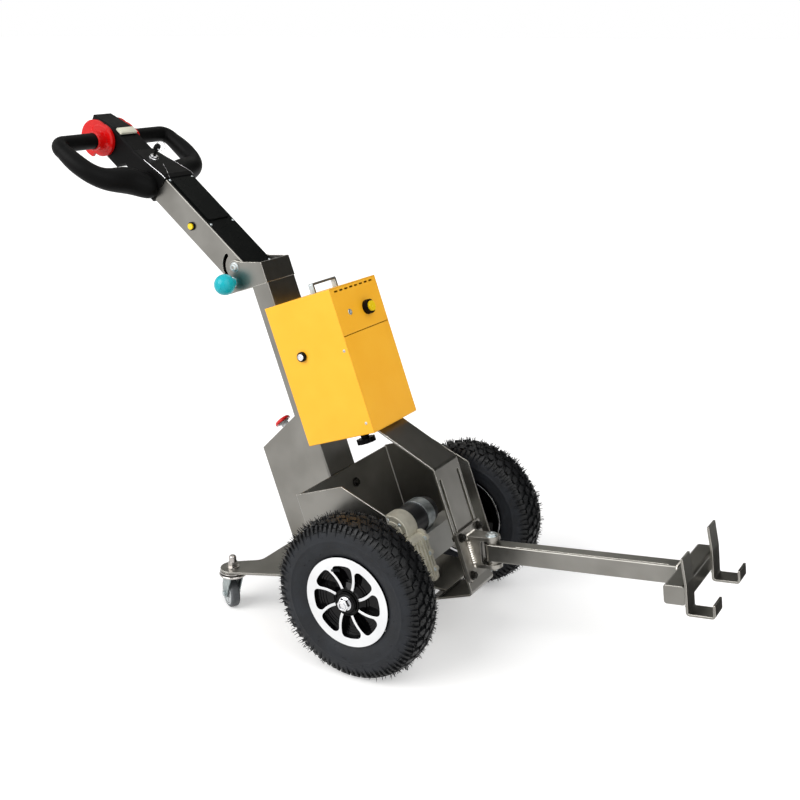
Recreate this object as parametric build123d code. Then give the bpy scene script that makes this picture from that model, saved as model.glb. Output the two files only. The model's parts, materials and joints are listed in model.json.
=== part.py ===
from build123d import *
import os
from math import atan2, cos, degrees, radians, sin, tan

os.makedirs("parts", exist_ok=True)

# Pedestrian electric tow tractor, millimetres. Row frame: +X towards the tow hooks, +Y to the left,
# +Z up, floor at z = 0. Three leaning frames carry the upright body, the tiller and the tow arm.
# Each frame's z axis leans back (towards -X) by its own angle, and its y axis is the row's y axis.

# ---------------------------------------------------------------- driving dimensions
tyre_radius = 203.0
tyre_width = 104.0
tread_width = 84.0
track = 581.0
body_lean = 20.3
play = 0.3                  # seat gap between pieces that touch on curved or moving faces
running = 0.05              # radial clearance of a running fit
beyond = 1200.0             # past the whole machine, for cutting blocks

# drive wheel rim
rim_radius = 113.0
rim_flange = 4.0
rim_width = 89.0
rim_barrel_radius = 97.0
rim_wall = 5.0
rim_disc_thickness = 26.0
spoke_count = 8
spoke_width = 7.0
spoke_swirl = 13.0
pocket_inner_radius = 33.0
pocket_outer_radius = 92.0
pocket_depth = 19.0
pocket_outer_corner = 12.0
pocket_inner_corner = 3.0
hub_radius = 23.5
hub_proud = 7.0
shaft_radius = 10.0
shaft_inner_y = 120.0
nut_across_flats = 27.0
nut_height = 12.0
nut_washer_radius = 17.0

# chassis sheet metal (body frame)
sheet = 4.0
chassis_width = 424.0
wall_top = 244.0
shell_bend = 7.0
side_top = 247.0
side_knee_x = -8.0
side_front_x = 93.0
side_front_top = 158.0
shell_foot = -150.0            # below the base plate, before the shell is cut level
axle_hole_radius = 17.0

# base plate (row frame, level)
plate_thickness = 6.0
plate_drop = 79.0                # from the axle down to the plate
plate_half_width = 156.0
plate_rear_x = -412.0
caster_x = -451.0
caster_y = 200.0
caster_arm_radius = 33.0
arm_outer_slope = 26.0          # degrees, outer edge of a rear arm
arm_inner_slope = 38.0
arm_outer_bend = 60.0
arm_inner_bend = 30.0
window_margin = 6.0             # round the gearbox, in the opening below it

# column and its base box (body frame)
column_depth = 53.0
column_width = 119.0
column_wall = 3.0
column_bend = 5.0
column_front = -155.0
box_rear_x = -345.0
box_rear_top = 355.0
box_slant_top = 418.0

# tiller bracket (body frame)
pivot_x = -242.0
pivot_z = 830.0
column_joint_z = pivot_z - 62.0   # rear edge of the column's open top
column_top_z = pivot_z - 9.0
bracket_sheet = 4.0
bracket_round = 18.0
bracket_lobe_x = pivot_x - 43.0
bracket_crest = 16.0            # the cheek rises this much above the front web, behind the column
bracket_crest_back = 8.0
bracket_shoulder = 6.0
bracket_lobe_corner = 8.0
clamp_x = pivot_x - 20.0
clamp_z = pivot_z - 35.0
clamp_screw_radius = 5.0
clamp_ball_radius = 27.0
clamp_neck_radius = 11.0
clamp_stand_off = 12.0
clamp_neck_length = 6.0
clamp_tail = 8.0
clamp_nut_across = 16.0
clamp_ball_flat = 8.0            # cut off the ball where it meets its neck
clamp_ball_overlap = 4.0
pivot_bolt_radius = 6.0
pivot_head_radius = 9.5
pivot_head_height = 7.0

# front strap (body frame)
strap_thickness = 5.0
strap_width = 116.0
strap_shelf_top = 340.0
strap_front_x = 159.5
strap_knee_x = 33.0
strap_bend_z = 212.0
strap_bottom_z = -119.0
strap_foot_x = 30.0
strap_bend_radius = 9.0
slot_y = 44.5
slot_width = 11.0
slot_top = 184.0
slot_bottom = -90.0

# battery box (body frame)
cabinet_depth = 210.0
cabinet_width = 205.0
cabinet_bottom = 340.0
cabinet_height = 366.0
cabinet_sheet = 2.0
cabinet_bend = 2.5
panel_split = 586.0
panel_gap = 2.0
panel_flange = 28.0
vent_count = 8
vent_length = 14.0
vent_height = 4.0
vent_pitch = 22.0
vent_below_top = 10.0
battery_side_gap = 8.0
battery_front_gap = 34.0
battery_seat = 12.0
battery_foot = 30.0
battery_share = 0.5             # of the cabinet's height
handle_x = -33.0
handle_spacing = 103.0
handle_rise = 26.0
handle_bar = 6.0
handle_strip = 14.0
handle_corner = 5.0
lock_x = -85.0
lock_z = 566.0
lock_radius = 12.5
lock_proud = 7.0
button_y = 27.0
button_z = 635.0
button_radius = 18.0
button_proud = 14.0
button_cap_radius = 13.0
button_cap_proud = 5.0
under_knob_x = column_front + 103.0
under_knob_radius = 25.0
under_knob_height = 13.0
under_knob_lobes = 10
under_knob_drop = 20.0
under_knob_neck = 11.0
under_stud_radius = 5.0

# rear emergency knob
stop_along = 62.0
stop_radius = 22.5
stop_height = 9.0
stop_stem_radius = 7.5
stop_rise = 24.0
gland_along = 22.0
gland_radius = 9.0
gland_height = 14.0

# transaxle
axle_tube_size = 70.0
axle_tube_far_y = 30.0
gearbox_near_y = 120.0
gearbox_length = 90.0
gearbox_depth = 112.0
gearbox_low = -76.0
gearbox_high = 58.0
gearbox_corner = 16.0
gearbox_rib = 5.0
gearbox_ribs = 6
gearbox_rib_proud = 6.0
gearbox_flange = 8.0
gearbox_hump_from = 40.0        # along the gearbox, where the motor's bell starts
gearbox_hump_proud = 4.0
motor_radius = 42.0
motor_x = -4.0
motor_length = 122.0
motor_end_step = 5.0
motor_band_length = 34.0
motor_band = 2.0
motor_cap_length = 26.0

# hitch (body frame for the base, tow frame for the ears)
tow_lean = 7.5
pin_x = 214.0
pin_z = 252.0
hitch_plate = 8.0
hitch_plate_width = 120.0
hitch_plate_top = 43.0
hitch_plate_bottom = -82.0
hitch_bolt_high = 29.0
hitch_bolt_low = -70.0
hitch_bolt_radius = 5.0
hitch_nut_across = 17.0
hitch_nut_height = 9.0
ear_thickness = 10.0
ear_gap = 62.0
ear_tip_radius = 21.0
ear_reach = 120.0             # back past the base plate, before the ears are cut to it
web_thickness = 12.0
web_front = -26.0
boss_radius = 15.0
pin_radius = 8.0
pin_head_radius = 12.0
pin_head_height = 6.0
pin_tail = 9.0

# tow arm (tow frame)
tow_tube_height = 45.0
tow_tube_width = 40.0
tow_tube_wall = 3.0
tow_tube_bend = 4.0
tow_slot_from = 70.0
tow_slot_to = 452.0
tow_slot_y = -15.0
tow_slot_width = 3.0
crossbar_x = 474.0
crossbar_depth = 48.0
crossbar_height = 45.0
crossbar_length = 242.0
crossbar_corner = 7.0
crossbar_edge = 2.0
drain_radius = 3.0
hook_width = 50.0
hook_thickness = 5.0
hook_depth = 60.0
hook_drop = 20.5                # crossbar's underside down to the middle of the strip
hook_lip = 29.5
hook_rise = 62.5
hook_flare = 6.0
hook_bend_radius = 6.0

# casters (row frame)
caster_wheel_radius = 40.0
caster_wheel_width = 25.0
caster_core_radius = 27.0
caster_hub_radius = 12.0
caster_web_sink = 3.0
caster_tread_round = 6.0
caster_trail = 24.0
caster_turn = 31.0
fork_sheet = 3.0
fork_gap = 3.0
fork_half_length = 27.0
fork_foot = 10.0
swivel_radius = 32.0
swivel_height = 8.0
swivel_gap = 4.0
caster_axle_radius = 4.0
caster_stem_radius = 6.0
caster_axle_head = 7.0
caster_axle_proud = 5.0
caster_washer_radius = 17.0
caster_washer_height = 3.0
caster_nut_across = 22.0
caster_nut_height = 13.0
caster_dome_radius = 10.0
caster_dome_height = 19.0
caster_flange_radius = 26.0
caster_clinch_radius = 9.5
caster_clinch = 3.0

# tiller (tiller frame: z along the arm, x out of its top face)
tiller_lean = 31.1         # further lean of the tiller frame on the body frame
arm_top = 25.0
arm_under = -46.6
arm_width = 104.0
arm_wall = 3.0
arm_tail = -45.0
arm_end = 317.0
arm_bend = 3.0
arm_slot_from = 88.0
arm_slot_to = 229.0
cover_width = 100.0
cover_thickness = 2.0
cover_from = -30.0
panel_from = 141.0
panel_to = 294.0
panel_width = 84.0
panel_rise = 4.0
panel_corner = 6.0
side_button_at = 169.0
side_button_drop = -16.0
side_button_radius = 8.0
side_button_bezel = 11.0
side_button_proud = 8.0
side_button_rim = 4.0

# handle head (tiller frame)
neck_width = 114.0
neck_top = 29.0
neck_under = -54.0
neck_start = 304.0
neck_collar = 318.0              # past here the top slopes down to the pod
neck_corner = 8.0
neck_pod_corner = 6.0
neck_pod_width = 80.0
loop_foot_x = -28.0
loop_foot_z = 335.0
loop_tilt = 5.6                 # the handle's plane drops towards the grip
loop_radius = 21.0
grip_reach = 203.6              # along the tilted plane
grip_half = 206.0
loop_corner = 25.0
loop_side_reach = 172.0         # nearer the sleeve than this the bar swells
pod_width = 74.0
pod_top = 1.0
pod_low = -50.0
pod_edge = 5.0
pod_start = 440.0
pod_end = 605.0
pod_slope_from = 532.0
pod_nose_top = -19.0
pod_nose_under = -48.0
pod_nose_cut = 6.0
pod_under = -80.0
pod_chin = 50.0
pod_heel = 24.0
throttle_gap = 1.0
throttle_radius = 43.0
throttle_depth = 13.0
throttle_bevel = 4.0
throttle_plate = 8.0
throttle_lobe = 50.0
throttle_lobe_shift = 20.0
throttle_lobe_drop = 12.0
throttle_hub = 25.0
throttle_hub_depth = 40.0
throttle_rib_low = -36.0
throttle_rib_high = 40.0
throttle_rib_half = 11.0
throttle_rib_proud = 5.0
rocker_width = 60.0
rocker_length = 20.0
rocker_height = 8.0
rocker_y = -4.0
rocker_z = 510.0
key_y = -8.0
key_z = 394.0
key_radius = 11.0
key_height = 7.0
key_blade = 14.0
key_blade_width = 8.0
key_blade_thickness = 3.0
key_bow = 11.0
key_bow_thickness = 6.0


# ---------------------------------------------------------------- helpers
def leaning(angle, x=0.0, y=0.0, z=0.0):
    """A frame whose z axis leans back by an angle."""
    return Location((x, y, z), (0, -angle, 0))


def upright(outline, y_from, y_to):
    """A plate whose outline is drawn in x and z, between two y planes."""
    flat = Plane.XZ.offset(-y_to) * outline
    return extrude(flat, amount=y_to - y_from, dir=(0, -1, 0))


def outline(*points):
    return Polygon(*points, align=None)


def block(x_from, x_to, y_from, y_to, z_from, z_to):
    size = Box(x_to - x_from, y_to - y_from, z_to - z_from, align=(Align.MIN, Align.MIN, Align.MIN))
    return Pos(x_from, y_from, z_from) * size


def post(x, y, z_from, z_to, radius):
    return Pos(x, y, z_from) * Cylinder(radius, z_to - z_from, align=(Align.CENTER, Align.CENTER, Align.MIN))


def cross_post(x, z, y_from, y_to, radius):
    """A cylinder along y."""
    rod = Cylinder(radius, y_to - y_from, align=(Align.CENTER, Align.CENTER, Align.MIN))
    return Pos(x, y_from, z) * (Rot(-90, 0, 0) * rod)


def hexagon(across, height):
    return extrude(RegularPolygon(across / 2, 6, major_radius=False), amount=height)


def mirrored(piece):
    return mirror(piece, about=Plane.XZ)


parts = {}


def keep(name, piece, frame=None):
    parts[name] = piece if frame is None else frame * piece


plate_top = tyre_radius - plate_drop
foot_inner = strap_bottom_z + strap_thickness + play
plate_bottom = plate_top - plate_thickness
plate_front_x = -(foot_inner + (tyre_radius - plate_bottom) * cos(radians(body_lean))) / sin(radians(body_lean))

body = leaning(body_lean, 0, 0, tyre_radius)
tow = leaning(tow_lean, pin_x, 0, pin_z)
tiller = body * leaning(tiller_lean, pivot_x, 0, pivot_z)
neck_slope = degrees(atan2(neck_top - pod_top, pod_start - neck_collar))
key_seat_x = neck_top - (key_z - neck_collar) * tan(radians(neck_slope))
grip_x = loop_foot_x - grip_reach * sin(radians(loop_tilt))
grip_z = loop_foot_z + grip_reach * cos(radians(loop_tilt))
above_plate = block(-beyond, beyond, -beyond, beyond, plate_top, beyond)


# ---------------------------------------------------------------- drive wheels
def tyre():
    """Closed profile in radius and width, turned about the axle."""
    half = tyre_width / 2
    tread = tread_width / 2
    bead = rim_width / 2 - rim_flange - play
    seat = rim_barrel_radius + play
    shoulder = tyre_radius - 9.0
    wall_mid = (rim_radius + tyre_radius) / 2
    side = [
        Line((seat, -bead), (seat, bead)),
        Line((seat, bead), (rim_radius + 2, bead)),
        ThreePointArc((rim_radius + 2, bead), (wall_mid, half), (shoulder, tread)),
        ThreePointArc((shoulder, tread), (tyre_radius, 0), (shoulder, -tread)),
        ThreePointArc((shoulder, -tread), (wall_mid, -half), (rim_radius + 2, -bead)),
        Line((rim_radius + 2, -bead), (seat, -bead)),
    ]
    return revolve(make_face(side), Axis.Y)


def pocket(index):
    """One swirled window between two spokes, as a face about the wheel's centre."""
    pitch = 360.0 / spoke_count
    rows = []
    # columns: radius, swirl in degrees
    for radius, swirl in (
        (pocket_inner_radius, 0.0),
        ((pocket_inner_radius + pocket_outer_radius) / 2, spoke_swirl * 0.35),
        (pocket_outer_radius, spoke_swirl),
    ):
        half = pitch / 2 - degrees(spoke_width / 2 / radius)
        middle = pitch * index + swirl
        rows.append([(radius, middle - half), (radius, middle), (radius, middle + half)])

    def at(cell):
        return (cell[0] * cos(radians(cell[1])), cell[0] * sin(radians(cell[1])))

    low, mid, high = rows
    edges = [
        ThreePointArc(at(low[0]), at(low[1]), at(low[2])),
        ThreePointArc(at(low[2]), at(mid[2]), at(high[2])),
        ThreePointArc(at(high[2]), at(high[1]), at(high[0])),
        ThreePointArc(at(high[0]), at(mid[0]), at(low[0])),
    ]
    face = make_face(edges)
    middle = (pocket_inner_radius + pocket_outer_radius) / 2
    outer = [v for v in face.vertices() if (v.X ** 2 + v.Y ** 2) ** 0.5 > middle]
    face = fillet(outer, pocket_outer_corner)
    inner = face.vertices().sort_by(lambda v: v.X ** 2 + v.Y ** 2)[:2]
    return fillet(inner, pocket_inner_corner)


def rim():
    """Barrel, flanges and outboard disc, axis along y, outboard towards +y."""
    half = rim_width / 2
    disc_in = half - rim_disc_thickness
    inner = rim_barrel_radius - rim_wall
    profile = outline(
        (shaft_radius + running, disc_in - 14),
        (hub_radius + 6, disc_in - 14),
        (hub_radius + 6, disc_in),
        (inner, disc_in),
        (inner, -half),
        (rim_radius, -half),
        (rim_radius, -half + rim_flange),
        (rim_barrel_radius, -half + rim_flange),
        (rim_barrel_radius, half - rim_flange),
        (rim_radius, half - rim_flange),
        (rim_radius, half),
        (inner, half),
        (pocket_inner_radius - 4, half - 3),
        (hub_radius, half - 3),
        (hub_radius, half + hub_proud - 3),
        (shaft_radius + running, half + hub_proud - 3),
    )
    wheel = revolve(profile, Axis.Y)
    for index in range(spoke_count):
        window = extrude(pocket(index), amount=pocket_depth + 1)
        wheel -= Pos(0, half + 1, 0) * (Rot(90, 0, 0) * window)
    return wheel


def axle_shaft():
    """Drive shaft with the washer and nut that hold the rim, outboard towards +y."""
    seat = rim_width / 2 + hub_proud - 3 + track / 2
    shaft = cross_post(0, 0, shaft_inner_y, seat + nut_height + 3, shaft_radius)
    washer = cross_post(0, 0, seat, seat + 2.5, nut_washer_radius)
    nut = Pos(0, seat + 2.5, 0) * (Rot(-90, 0, 0) * hexagon(nut_across_flats, nut_height))
    nut = chamfer(nut.faces().sort_by(Axis.Y)[-1].edges(), 1.5)
    return shaft + washer + nut


wheel_tyre = tyre()
wheel_rim = rim()
wheel_shaft = axle_shaft()
for side, sign in (("left", 1), ("right", -1)):
    at_wheel = Pos(0, track / 2, tyre_radius)
    pieces = (
        ("tyre", at_wheel * wheel_tyre),
        ("rim", at_wheel * wheel_rim),
        ("axle_shaft", Pos(0, 0, tyre_radius) * wheel_shaft),
    )
    for name, piece in pieces:
        keep(f"{side}_{name}", piece if sign > 0 else mirrored(piece))


# ---------------------------------------------------------------- chassis
def chassis_shell():
    """Rear wall and two side plates, bent from one sheet and open to the front."""
    half = chassis_width / 2
    shape = outline(
        (column_front, shell_foot),
        (column_front, side_top),
        (side_knee_x, side_top),
        (side_front_x, side_front_top),
        (side_front_x, shell_foot),
    )
    shell = upright(shape, -half, half)
    corners = [e for e in shell.edges().filter_by(Axis.Z) if abs(e.center().X - column_front) < 1]
    shell = fillet(corners, shell_bend)
    bay = block(column_front + sheet, side_front_x + 1, -half + sheet, half - sheet, shell_foot - 1, side_top + 1)
    corners = [e for e in bay.edges().filter_by(Axis.Z) if abs(e.center().X - column_front - sheet) < 1]
    shell -= fillet(corners, shell_bend - sheet)
    shell -= block(column_front - 1, column_front + sheet + 1, -half + sheet, half - sheet, wall_top, side_top + 1)
    shell -= cross_post(0, 0, -half - 1, half + 1, axle_hole_radius)
    return shell


def base_plate():
    """Level plate with two rear arms that end round a caster stem each."""
    outer, inner = radians(arm_outer_slope), radians(arm_inner_slope)
    r = caster_arm_radius
    outer_x, outer_y = caster_x + r * sin(outer), caster_y + r * cos(outer)
    inner_x, inner_y = caster_x - r * sin(inner), caster_y - r * cos(inner)
    waist_x = outer_x + (outer_y - plate_half_width) / tan(outer)
    notch_y = inner_y - (plate_rear_x - inner_x) * tan(inner)
    side = [
        (plate_front_x, plate_half_width),
        (waist_x, plate_half_width),
        (outer_x, outer_y),
        (caster_x, caster_y),
        (inner_x, inner_y),
        (plate_rear_x, notch_y),
    ]
    other = [(x, -y) for x, y in reversed(side)]
    face = outline(*side, *other)
    # columns: corner x, corner y, bend radius
    for x, y, bend in ((waist_x, plate_half_width, arm_outer_bend), (plate_rear_x, notch_y, arm_inner_bend)):
        corners = [v for v in face.vertices() if abs(v.X - x) < 1 and abs(abs(v.Y) - y) < 1]
        face = fillet(corners, bend)
    plate = extrude(face, amount=plate_thickness)
    for y in (caster_y, -caster_y):
        plate += post(caster_x, y, 0, plate_thickness, caster_arm_radius)
    for y in (caster_y, -caster_y):
        plate -= post(caster_x, y, -1, plate_thickness + 1, caster_stem_radius + running)
    window_half = gearbox_depth / 2 + gearbox_rib_proud + window_margin
    lean = (plate_drop - plate_thickness / 2) * tan(radians(body_lean))
    plate -= block(lean - window_half, lean + window_half, -gearbox_near_y - window_margin,
                   gearbox_length - gearbox_near_y + window_margin, -1, plate_thickness + 1)
    return Pos(0, 0, plate_top - plate_thickness) * plate


def front_strap():
    """One bent strip: shelf under the battery box, slope, slotted front and foot."""
    mid = strap_thickness / 2
    path = FilletPolyline(
        (column_front, strap_shelf_top - mid),
        (strap_knee_x, strap_shelf_top - mid),
        (strap_front_x - mid, strap_bend_z),
        (strap_front_x - mid, strap_bottom_z + mid),
        (strap_foot_x, strap_bottom_z + mid),
        radius=strap_bend_radius,
    )
    strap = upright(trace(path, strap_thickness), -strap_width / 2, strap_width / 2)
    for y in (slot_y, -slot_y):
        low = slot_bottom + slot_width / 2
        high = slot_top - slot_width / 2
        cut = block(strap_front_x - 20, strap_front_x + 5, y - slot_width / 2, y + slot_width / 2, low, high)
        for z in (low, high):
            end = Rot(0, 90, 0) * Cylinder(slot_width / 2, 25)
            cut += Pos(strap_front_x - 7.5, y, z) * end
        strap -= cut
    strap -= post(under_knob_x, 0, strap_shelf_top - 20, strap_shelf_top + 5, under_stud_radius + play)
    return strap


keep("chassis_shell", above_plate & (body * chassis_shell()))
keep("base_plate", base_plate())
keep("front_strap", front_strap(), body)


# ---------------------------------------------------------------- column
def column():
    back = column_front - column_depth
    half = column_width / 2
    tube = block(back, column_front, -half, half, shell_foot, column_joint_z)
    tube = fillet(tube.edges().filter_by(Axis.Z), column_bend)
    inside = half - column_wall
    tube -= block(back + column_wall, column_front - column_wall, -inside, inside, shell_foot - 1, column_joint_z + 1)
    return tube


def column_box():
    """Folded housing behind the column's foot, with a sloping lid."""
    back = column_front - column_depth
    half = column_width / 2
    shape = outline((box_rear_x, shell_foot), (box_rear_x, box_rear_top), (back, box_slant_top), (back, shell_foot))
    rise = column_wall
    hollow = outline(
        (box_rear_x + rise, shell_foot - 1),
        (box_rear_x + rise, box_rear_top - rise),
        (back + 1, box_slant_top - rise - 1),
        (back + 1, shell_foot - 1),
    )
    housing = upright(shape, -half, half)
    corners = [e for e in housing.edges().filter_by(Axis.Z) if abs(e.center().X - box_rear_x) < 1]
    housing = fillet(corners, column_bend)
    housing -= upright(hollow, -half + column_wall, half - column_wall)
    return housing


def tiller_bracket():
    """Channel on top of the column: a front web and two cheeks that carry the tiller's pivot."""
    half = column_width / 2
    back = column_front - column_depth
    cheek = outline(
        (column_front, column_joint_z),
        (column_front, column_top_z),
        (back - bracket_crest_back, column_top_z + bracket_crest),
        (pivot_x + bracket_shoulder, pivot_z + bracket_round - 1),
        (pivot_x - bracket_round, pivot_z),
        (bracket_lobe_x, clamp_z),
        (bracket_lobe_x, column_joint_z),
    )
    shape = upright(cheek, -half, half)
    shape += cross_post(pivot_x, pivot_z, -half, half, bracket_round)
    shape -= block(bracket_lobe_x - 5, column_front - bracket_sheet, -half + bracket_sheet, half - bracket_sheet,
                   column_joint_z - 1, pivot_z + 2 * bracket_round)
    shape -= cross_post(pivot_x, pivot_z, -half - 1, half + 1, pivot_bolt_radius + running)
    shape -= cross_post(clamp_x, clamp_z, -half - 1, half + 1, clamp_screw_radius + running)
    return shape


keep("column", above_plate & (body * column()))
keep("column_box", above_plate & (body * column_box()))
keep("tiller_bracket", tiller_bracket(), body)


# ---------------------------------------------------------------- tiller pivot and clamp
def pivot_bolt():
    """Through bolt with domed heads outside the cheeks and spacers beside the arm."""
    half = column_width / 2
    bolt = cross_post(pivot_x, pivot_z, -half - pivot_head_height, half + pivot_head_height, pivot_bolt_radius)
    for low, high, radius in (
        (half, half + pivot_head_height, pivot_head_radius),
        (arm_width / 2 + play, half - bracket_sheet, pivot_head_radius),
    ):
        bolt += cross_post(pivot_x, pivot_z, low, high, radius)
        bolt += cross_post(pivot_x, pivot_z, -high, -low, radius)
    return bolt


def clamp_knob():
    """Ball knob on a screw that passes the cheeks and the arm's curved slot."""
    half = column_width / 2
    knob = cross_post(clamp_x, clamp_z, -half - clamp_stand_off, half + clamp_tail, clamp_screw_radius)
    knob += cross_post(clamp_x, clamp_z, -half - clamp_stand_off - clamp_neck_length, -half, clamp_neck_radius)
    ball_y = -half - clamp_stand_off - clamp_ball_radius + clamp_ball_overlap
    ball = Pos(clamp_x, ball_y, clamp_z) * Sphere(clamp_ball_radius)
    reach = 2 * clamp_ball_radius
    ball -= block(clamp_x - reach, clamp_x + reach, ball_y + clamp_ball_radius - clamp_ball_flat, ball_y + reach,
                  clamp_z - reach, clamp_z + reach)
    knob += ball
    nut = Pos(clamp_x, half, clamp_z) * (Rot(-90, 0, 0) * hexagon(clamp_nut_across, clamp_tail))
    return knob + nut


keep("tiller_pivot_bolt", pivot_bolt(), body)
keep("tiller_clamp_knob", clamp_knob(), body)


# ---------------------------------------------------------------- battery box
cabinet_front = column_front + cabinet_depth
cabinet_top = cabinet_bottom + cabinet_height
cabinet_half = cabinet_width / 2


def cabinet():
    """Folded steel cabinet, open at the front."""
    shell = block(column_front, cabinet_front, -cabinet_half, cabinet_half, cabinet_bottom, cabinet_top)
    rear = [e for e in shell.edges().filter_by(Axis.Z) if abs(e.center().X - column_front) < 1]
    shell = fillet(rear + list(shell.edges().filter_by(Axis.X)), cabinet_bend)
    s = cabinet_sheet
    shell -= block(column_front + s, cabinet_front + 1, -cabinet_half + s, cabinet_half - s,
                   cabinet_bottom + s, cabinet_top - s)
    shell -= cross_post(lock_x, lock_z, -cabinet_half - 1, -cabinet_half + s + 1, lock_radius - 3)
    shell -= post(under_knob_x, 0, cabinet_bottom - 1, cabinet_bottom + s + 1, under_stud_radius + play)
    return shell


def front_panel(low, high):
    """Front sheet with a flange along each side, inside the cabinet's walls."""
    half = cabinet_half - cabinet_sheet - play
    panel = block(cabinet_front - panel_flange, cabinet_front, -half, half, low, high)
    s = cabinet_sheet
    panel -= block(cabinet_front - panel_flange - 1, cabinet_front - s, -half + s, half - s, low - 1, high + 1)
    return panel


def upper_panel():
    panel = front_panel(panel_split + panel_gap / 2, cabinet_top - cabinet_sheet - play)
    for index in range(vent_count):
        y = (index - (vent_count - 1) / 2) * vent_pitch
        z = cabinet_top - vent_below_top
        panel -= block(cabinet_front - 5, cabinet_front + 5, y - vent_length / 2, y + vent_length / 2,
                       z - vent_height / 2, z + vent_height / 2)
    hole = Rot(0, 90, 0) * Cylinder(button_radius - 4, 20)
    return panel - Pos(cabinet_front, button_y, button_z) * hole


def lower_panel():
    return front_panel(cabinet_bottom + cabinet_sheet + play, panel_split - panel_gap / 2)


def box_handle():
    """Carrying handle: two feet, two legs and a bar, bent from one strip."""
    low = cabinet_top
    half = handle_spacing / 2
    rear, front = handle_x - handle_strip / 2, handle_x + handle_strip / 2
    shape = block(rear, front, -half, half, low, low + handle_rise)
    inner = half - handle_bar
    shape -= block(rear - 1, front + 1, -inner, inner, low - 1, low + handle_rise - handle_bar)
    top_edges = shape.edges().filter_by(Axis.X).group_by(Axis.Z)[-1]
    return fillet(top_edges, handle_corner)


def forward_post(x_from, x_to, y, z, radius):
    """A cylinder along x."""
    rod = Cylinder(radius, x_to - x_from, align=(Align.CENTER, Align.CENTER, Align.MIN))
    return Pos(x_from, y, z) * (Rot(0, 90, 0) * rod)


def button_bezel():
    ring = forward_post(cabinet_front, cabinet_front + button_proud, button_y, button_z, button_radius)
    ring += forward_post(cabinet_front - 18, cabinet_front, button_y, button_z, button_radius - 4 - play)
    ring -= forward_post(cabinet_front + button_proud - 4, cabinet_front + button_proud + 1, button_y, button_z,
                         button_cap_radius + play)
    return ring


def button_cap():
    start = cabinet_front + button_proud - 4
    return forward_post(start, start + 4 + button_cap_proud, button_y, button_z, button_cap_radius)


def side_lock():
    lock = cross_post(lock_x, lock_z, -cabinet_half - lock_proud, -cabinet_half, lock_radius)
    lock += cross_post(lock_x, lock_z, -cabinet_half, -cabinet_half + 20, lock_radius - 3 - play)
    return lock


def battery():
    """One block on two feet, inside the closed cabinet."""
    rear = column_front + cabinet_sheet + 2
    front = cabinet_front - battery_front_gap
    half = cabinet_half - cabinet_sheet - battery_side_gap
    low = cabinet_bottom + cabinet_sheet
    block_low = low + battery_seat
    pack = block(rear, front, -half, half, block_low, block_low + battery_share * cabinet_height)
    pack += block(rear, front, -half, -half + battery_foot, low, block_low)
    return pack + block(rear, front, half - battery_foot, half, low, block_low)


def under_knob():
    """Fluted hand knob that clamps the box to the shelf from below."""
    shelf_under = strap_shelf_top - strap_thickness
    low = shelf_under - under_knob_drop - under_knob_height
    disc = post(0, 0, low, low + under_knob_height, under_knob_radius)
    for index in range(under_knob_lobes):
        turn = radians(360 / under_knob_lobes * index)
        reach = under_knob_radius + 2.5
        disc -= post(reach * cos(turn), reach * sin(turn), low - 1, low + under_knob_height + 1, 4.5)
    disc += post(0, 0, low + under_knob_height, shelf_under, under_knob_neck)
    disc += post(0, 0, shelf_under, cabinet_bottom + cabinet_sheet + 8, under_stud_radius)
    return Pos(under_knob_x, 0, 0) * disc


keep("battery_cabinet", cabinet(), body)
keep("cabinet_upper_panel", upper_panel(), body)
keep("cabinet_lower_panel", lower_panel(), body)
keep("battery_block", battery(), body)
keep("cabinet_handle", box_handle(), body)
keep("cabinet_button_bezel", button_bezel(), body)
keep("cabinet_button_cap", button_cap(), body)
keep("cabinet_lock", side_lock(), body)
keep("cabinet_clamp_knob", under_knob(), body)

# ---------------------------------------------------------------- rear lid fittings
lid_run = column_front - column_depth - box_rear_x
lid_rise = box_slant_top - box_rear_top
lid_angle = degrees(atan2(lid_rise, lid_run))
lid = body * Location((box_rear_x, 0, box_rear_top), (0, -lid_angle, 0))


def stop_knob():
    stem = post(stop_along, 0, 0, stop_rise, stop_stem_radius)
    cap = post(stop_along, 0, stop_rise, stop_rise + stop_height, stop_radius)
    cap = fillet(cap.faces().sort_by(Axis.Z)[-1].edges(), stop_height * 0.7)
    return stem + cap


keep("emergency_stop", stop_knob(), lid)
keep("cable_gland", post(lid_run / cos(radians(lid_angle)) - gland_along, 0, 0, gland_height, gland_radius), lid)


# ---------------------------------------------------------------- transaxle
motor_z = axle_tube_size / 2 + play + motor_radius
gearbox_far_y = -gearbox_near_y + gearbox_length


def gearbox():
    """Cast housing with cooling ribs, an end flange and a bell for the motor."""
    near, far = -gearbox_near_y, gearbox_far_y
    half = gearbox_depth / 2
    core = block(-half, half, near, far, gearbox_low, gearbox_high)
    core = fillet(core.edges().filter_by(Axis.Y), gearbox_corner)
    proud = gearbox_rib_proud
    pitch = (gearbox_length - gearbox_flange) / gearbox_ribs
    rib_low, rib_high = gearbox_low + gearbox_corner, gearbox_high - gearbox_corner
    for index in range(gearbox_ribs):
        y = near + (index + 0.5) * pitch - gearbox_rib / 2
        core += block(-half - proud, half + proud, y, y + gearbox_rib, rib_low, rib_high)
    flange = block(-half - proud, half + proud, far - gearbox_flange, far, gearbox_low, gearbox_high + proud)
    core += fillet(flange.edges().filter_by(Axis.Y), gearbox_corner)
    core += cross_post(motor_x, motor_z, near + gearbox_hump_from, far, motor_radius + gearbox_hump_proud)
    return core - cross_post(0, 0, near - 1, far + 1, shaft_radius + gearbox_hump_proud)


def axle_tubes():
    half = axle_tube_size / 2
    reach = chassis_width / 2 - sheet
    tube = block(-half, half, gearbox_far_y, reach, -half, half)
    tube += block(-half, half, -reach, -gearbox_near_y, -half, half)
    tube -= cross_post(0, 0, -reach - 1, reach + 1, shaft_radius + running)
    return tube


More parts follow.
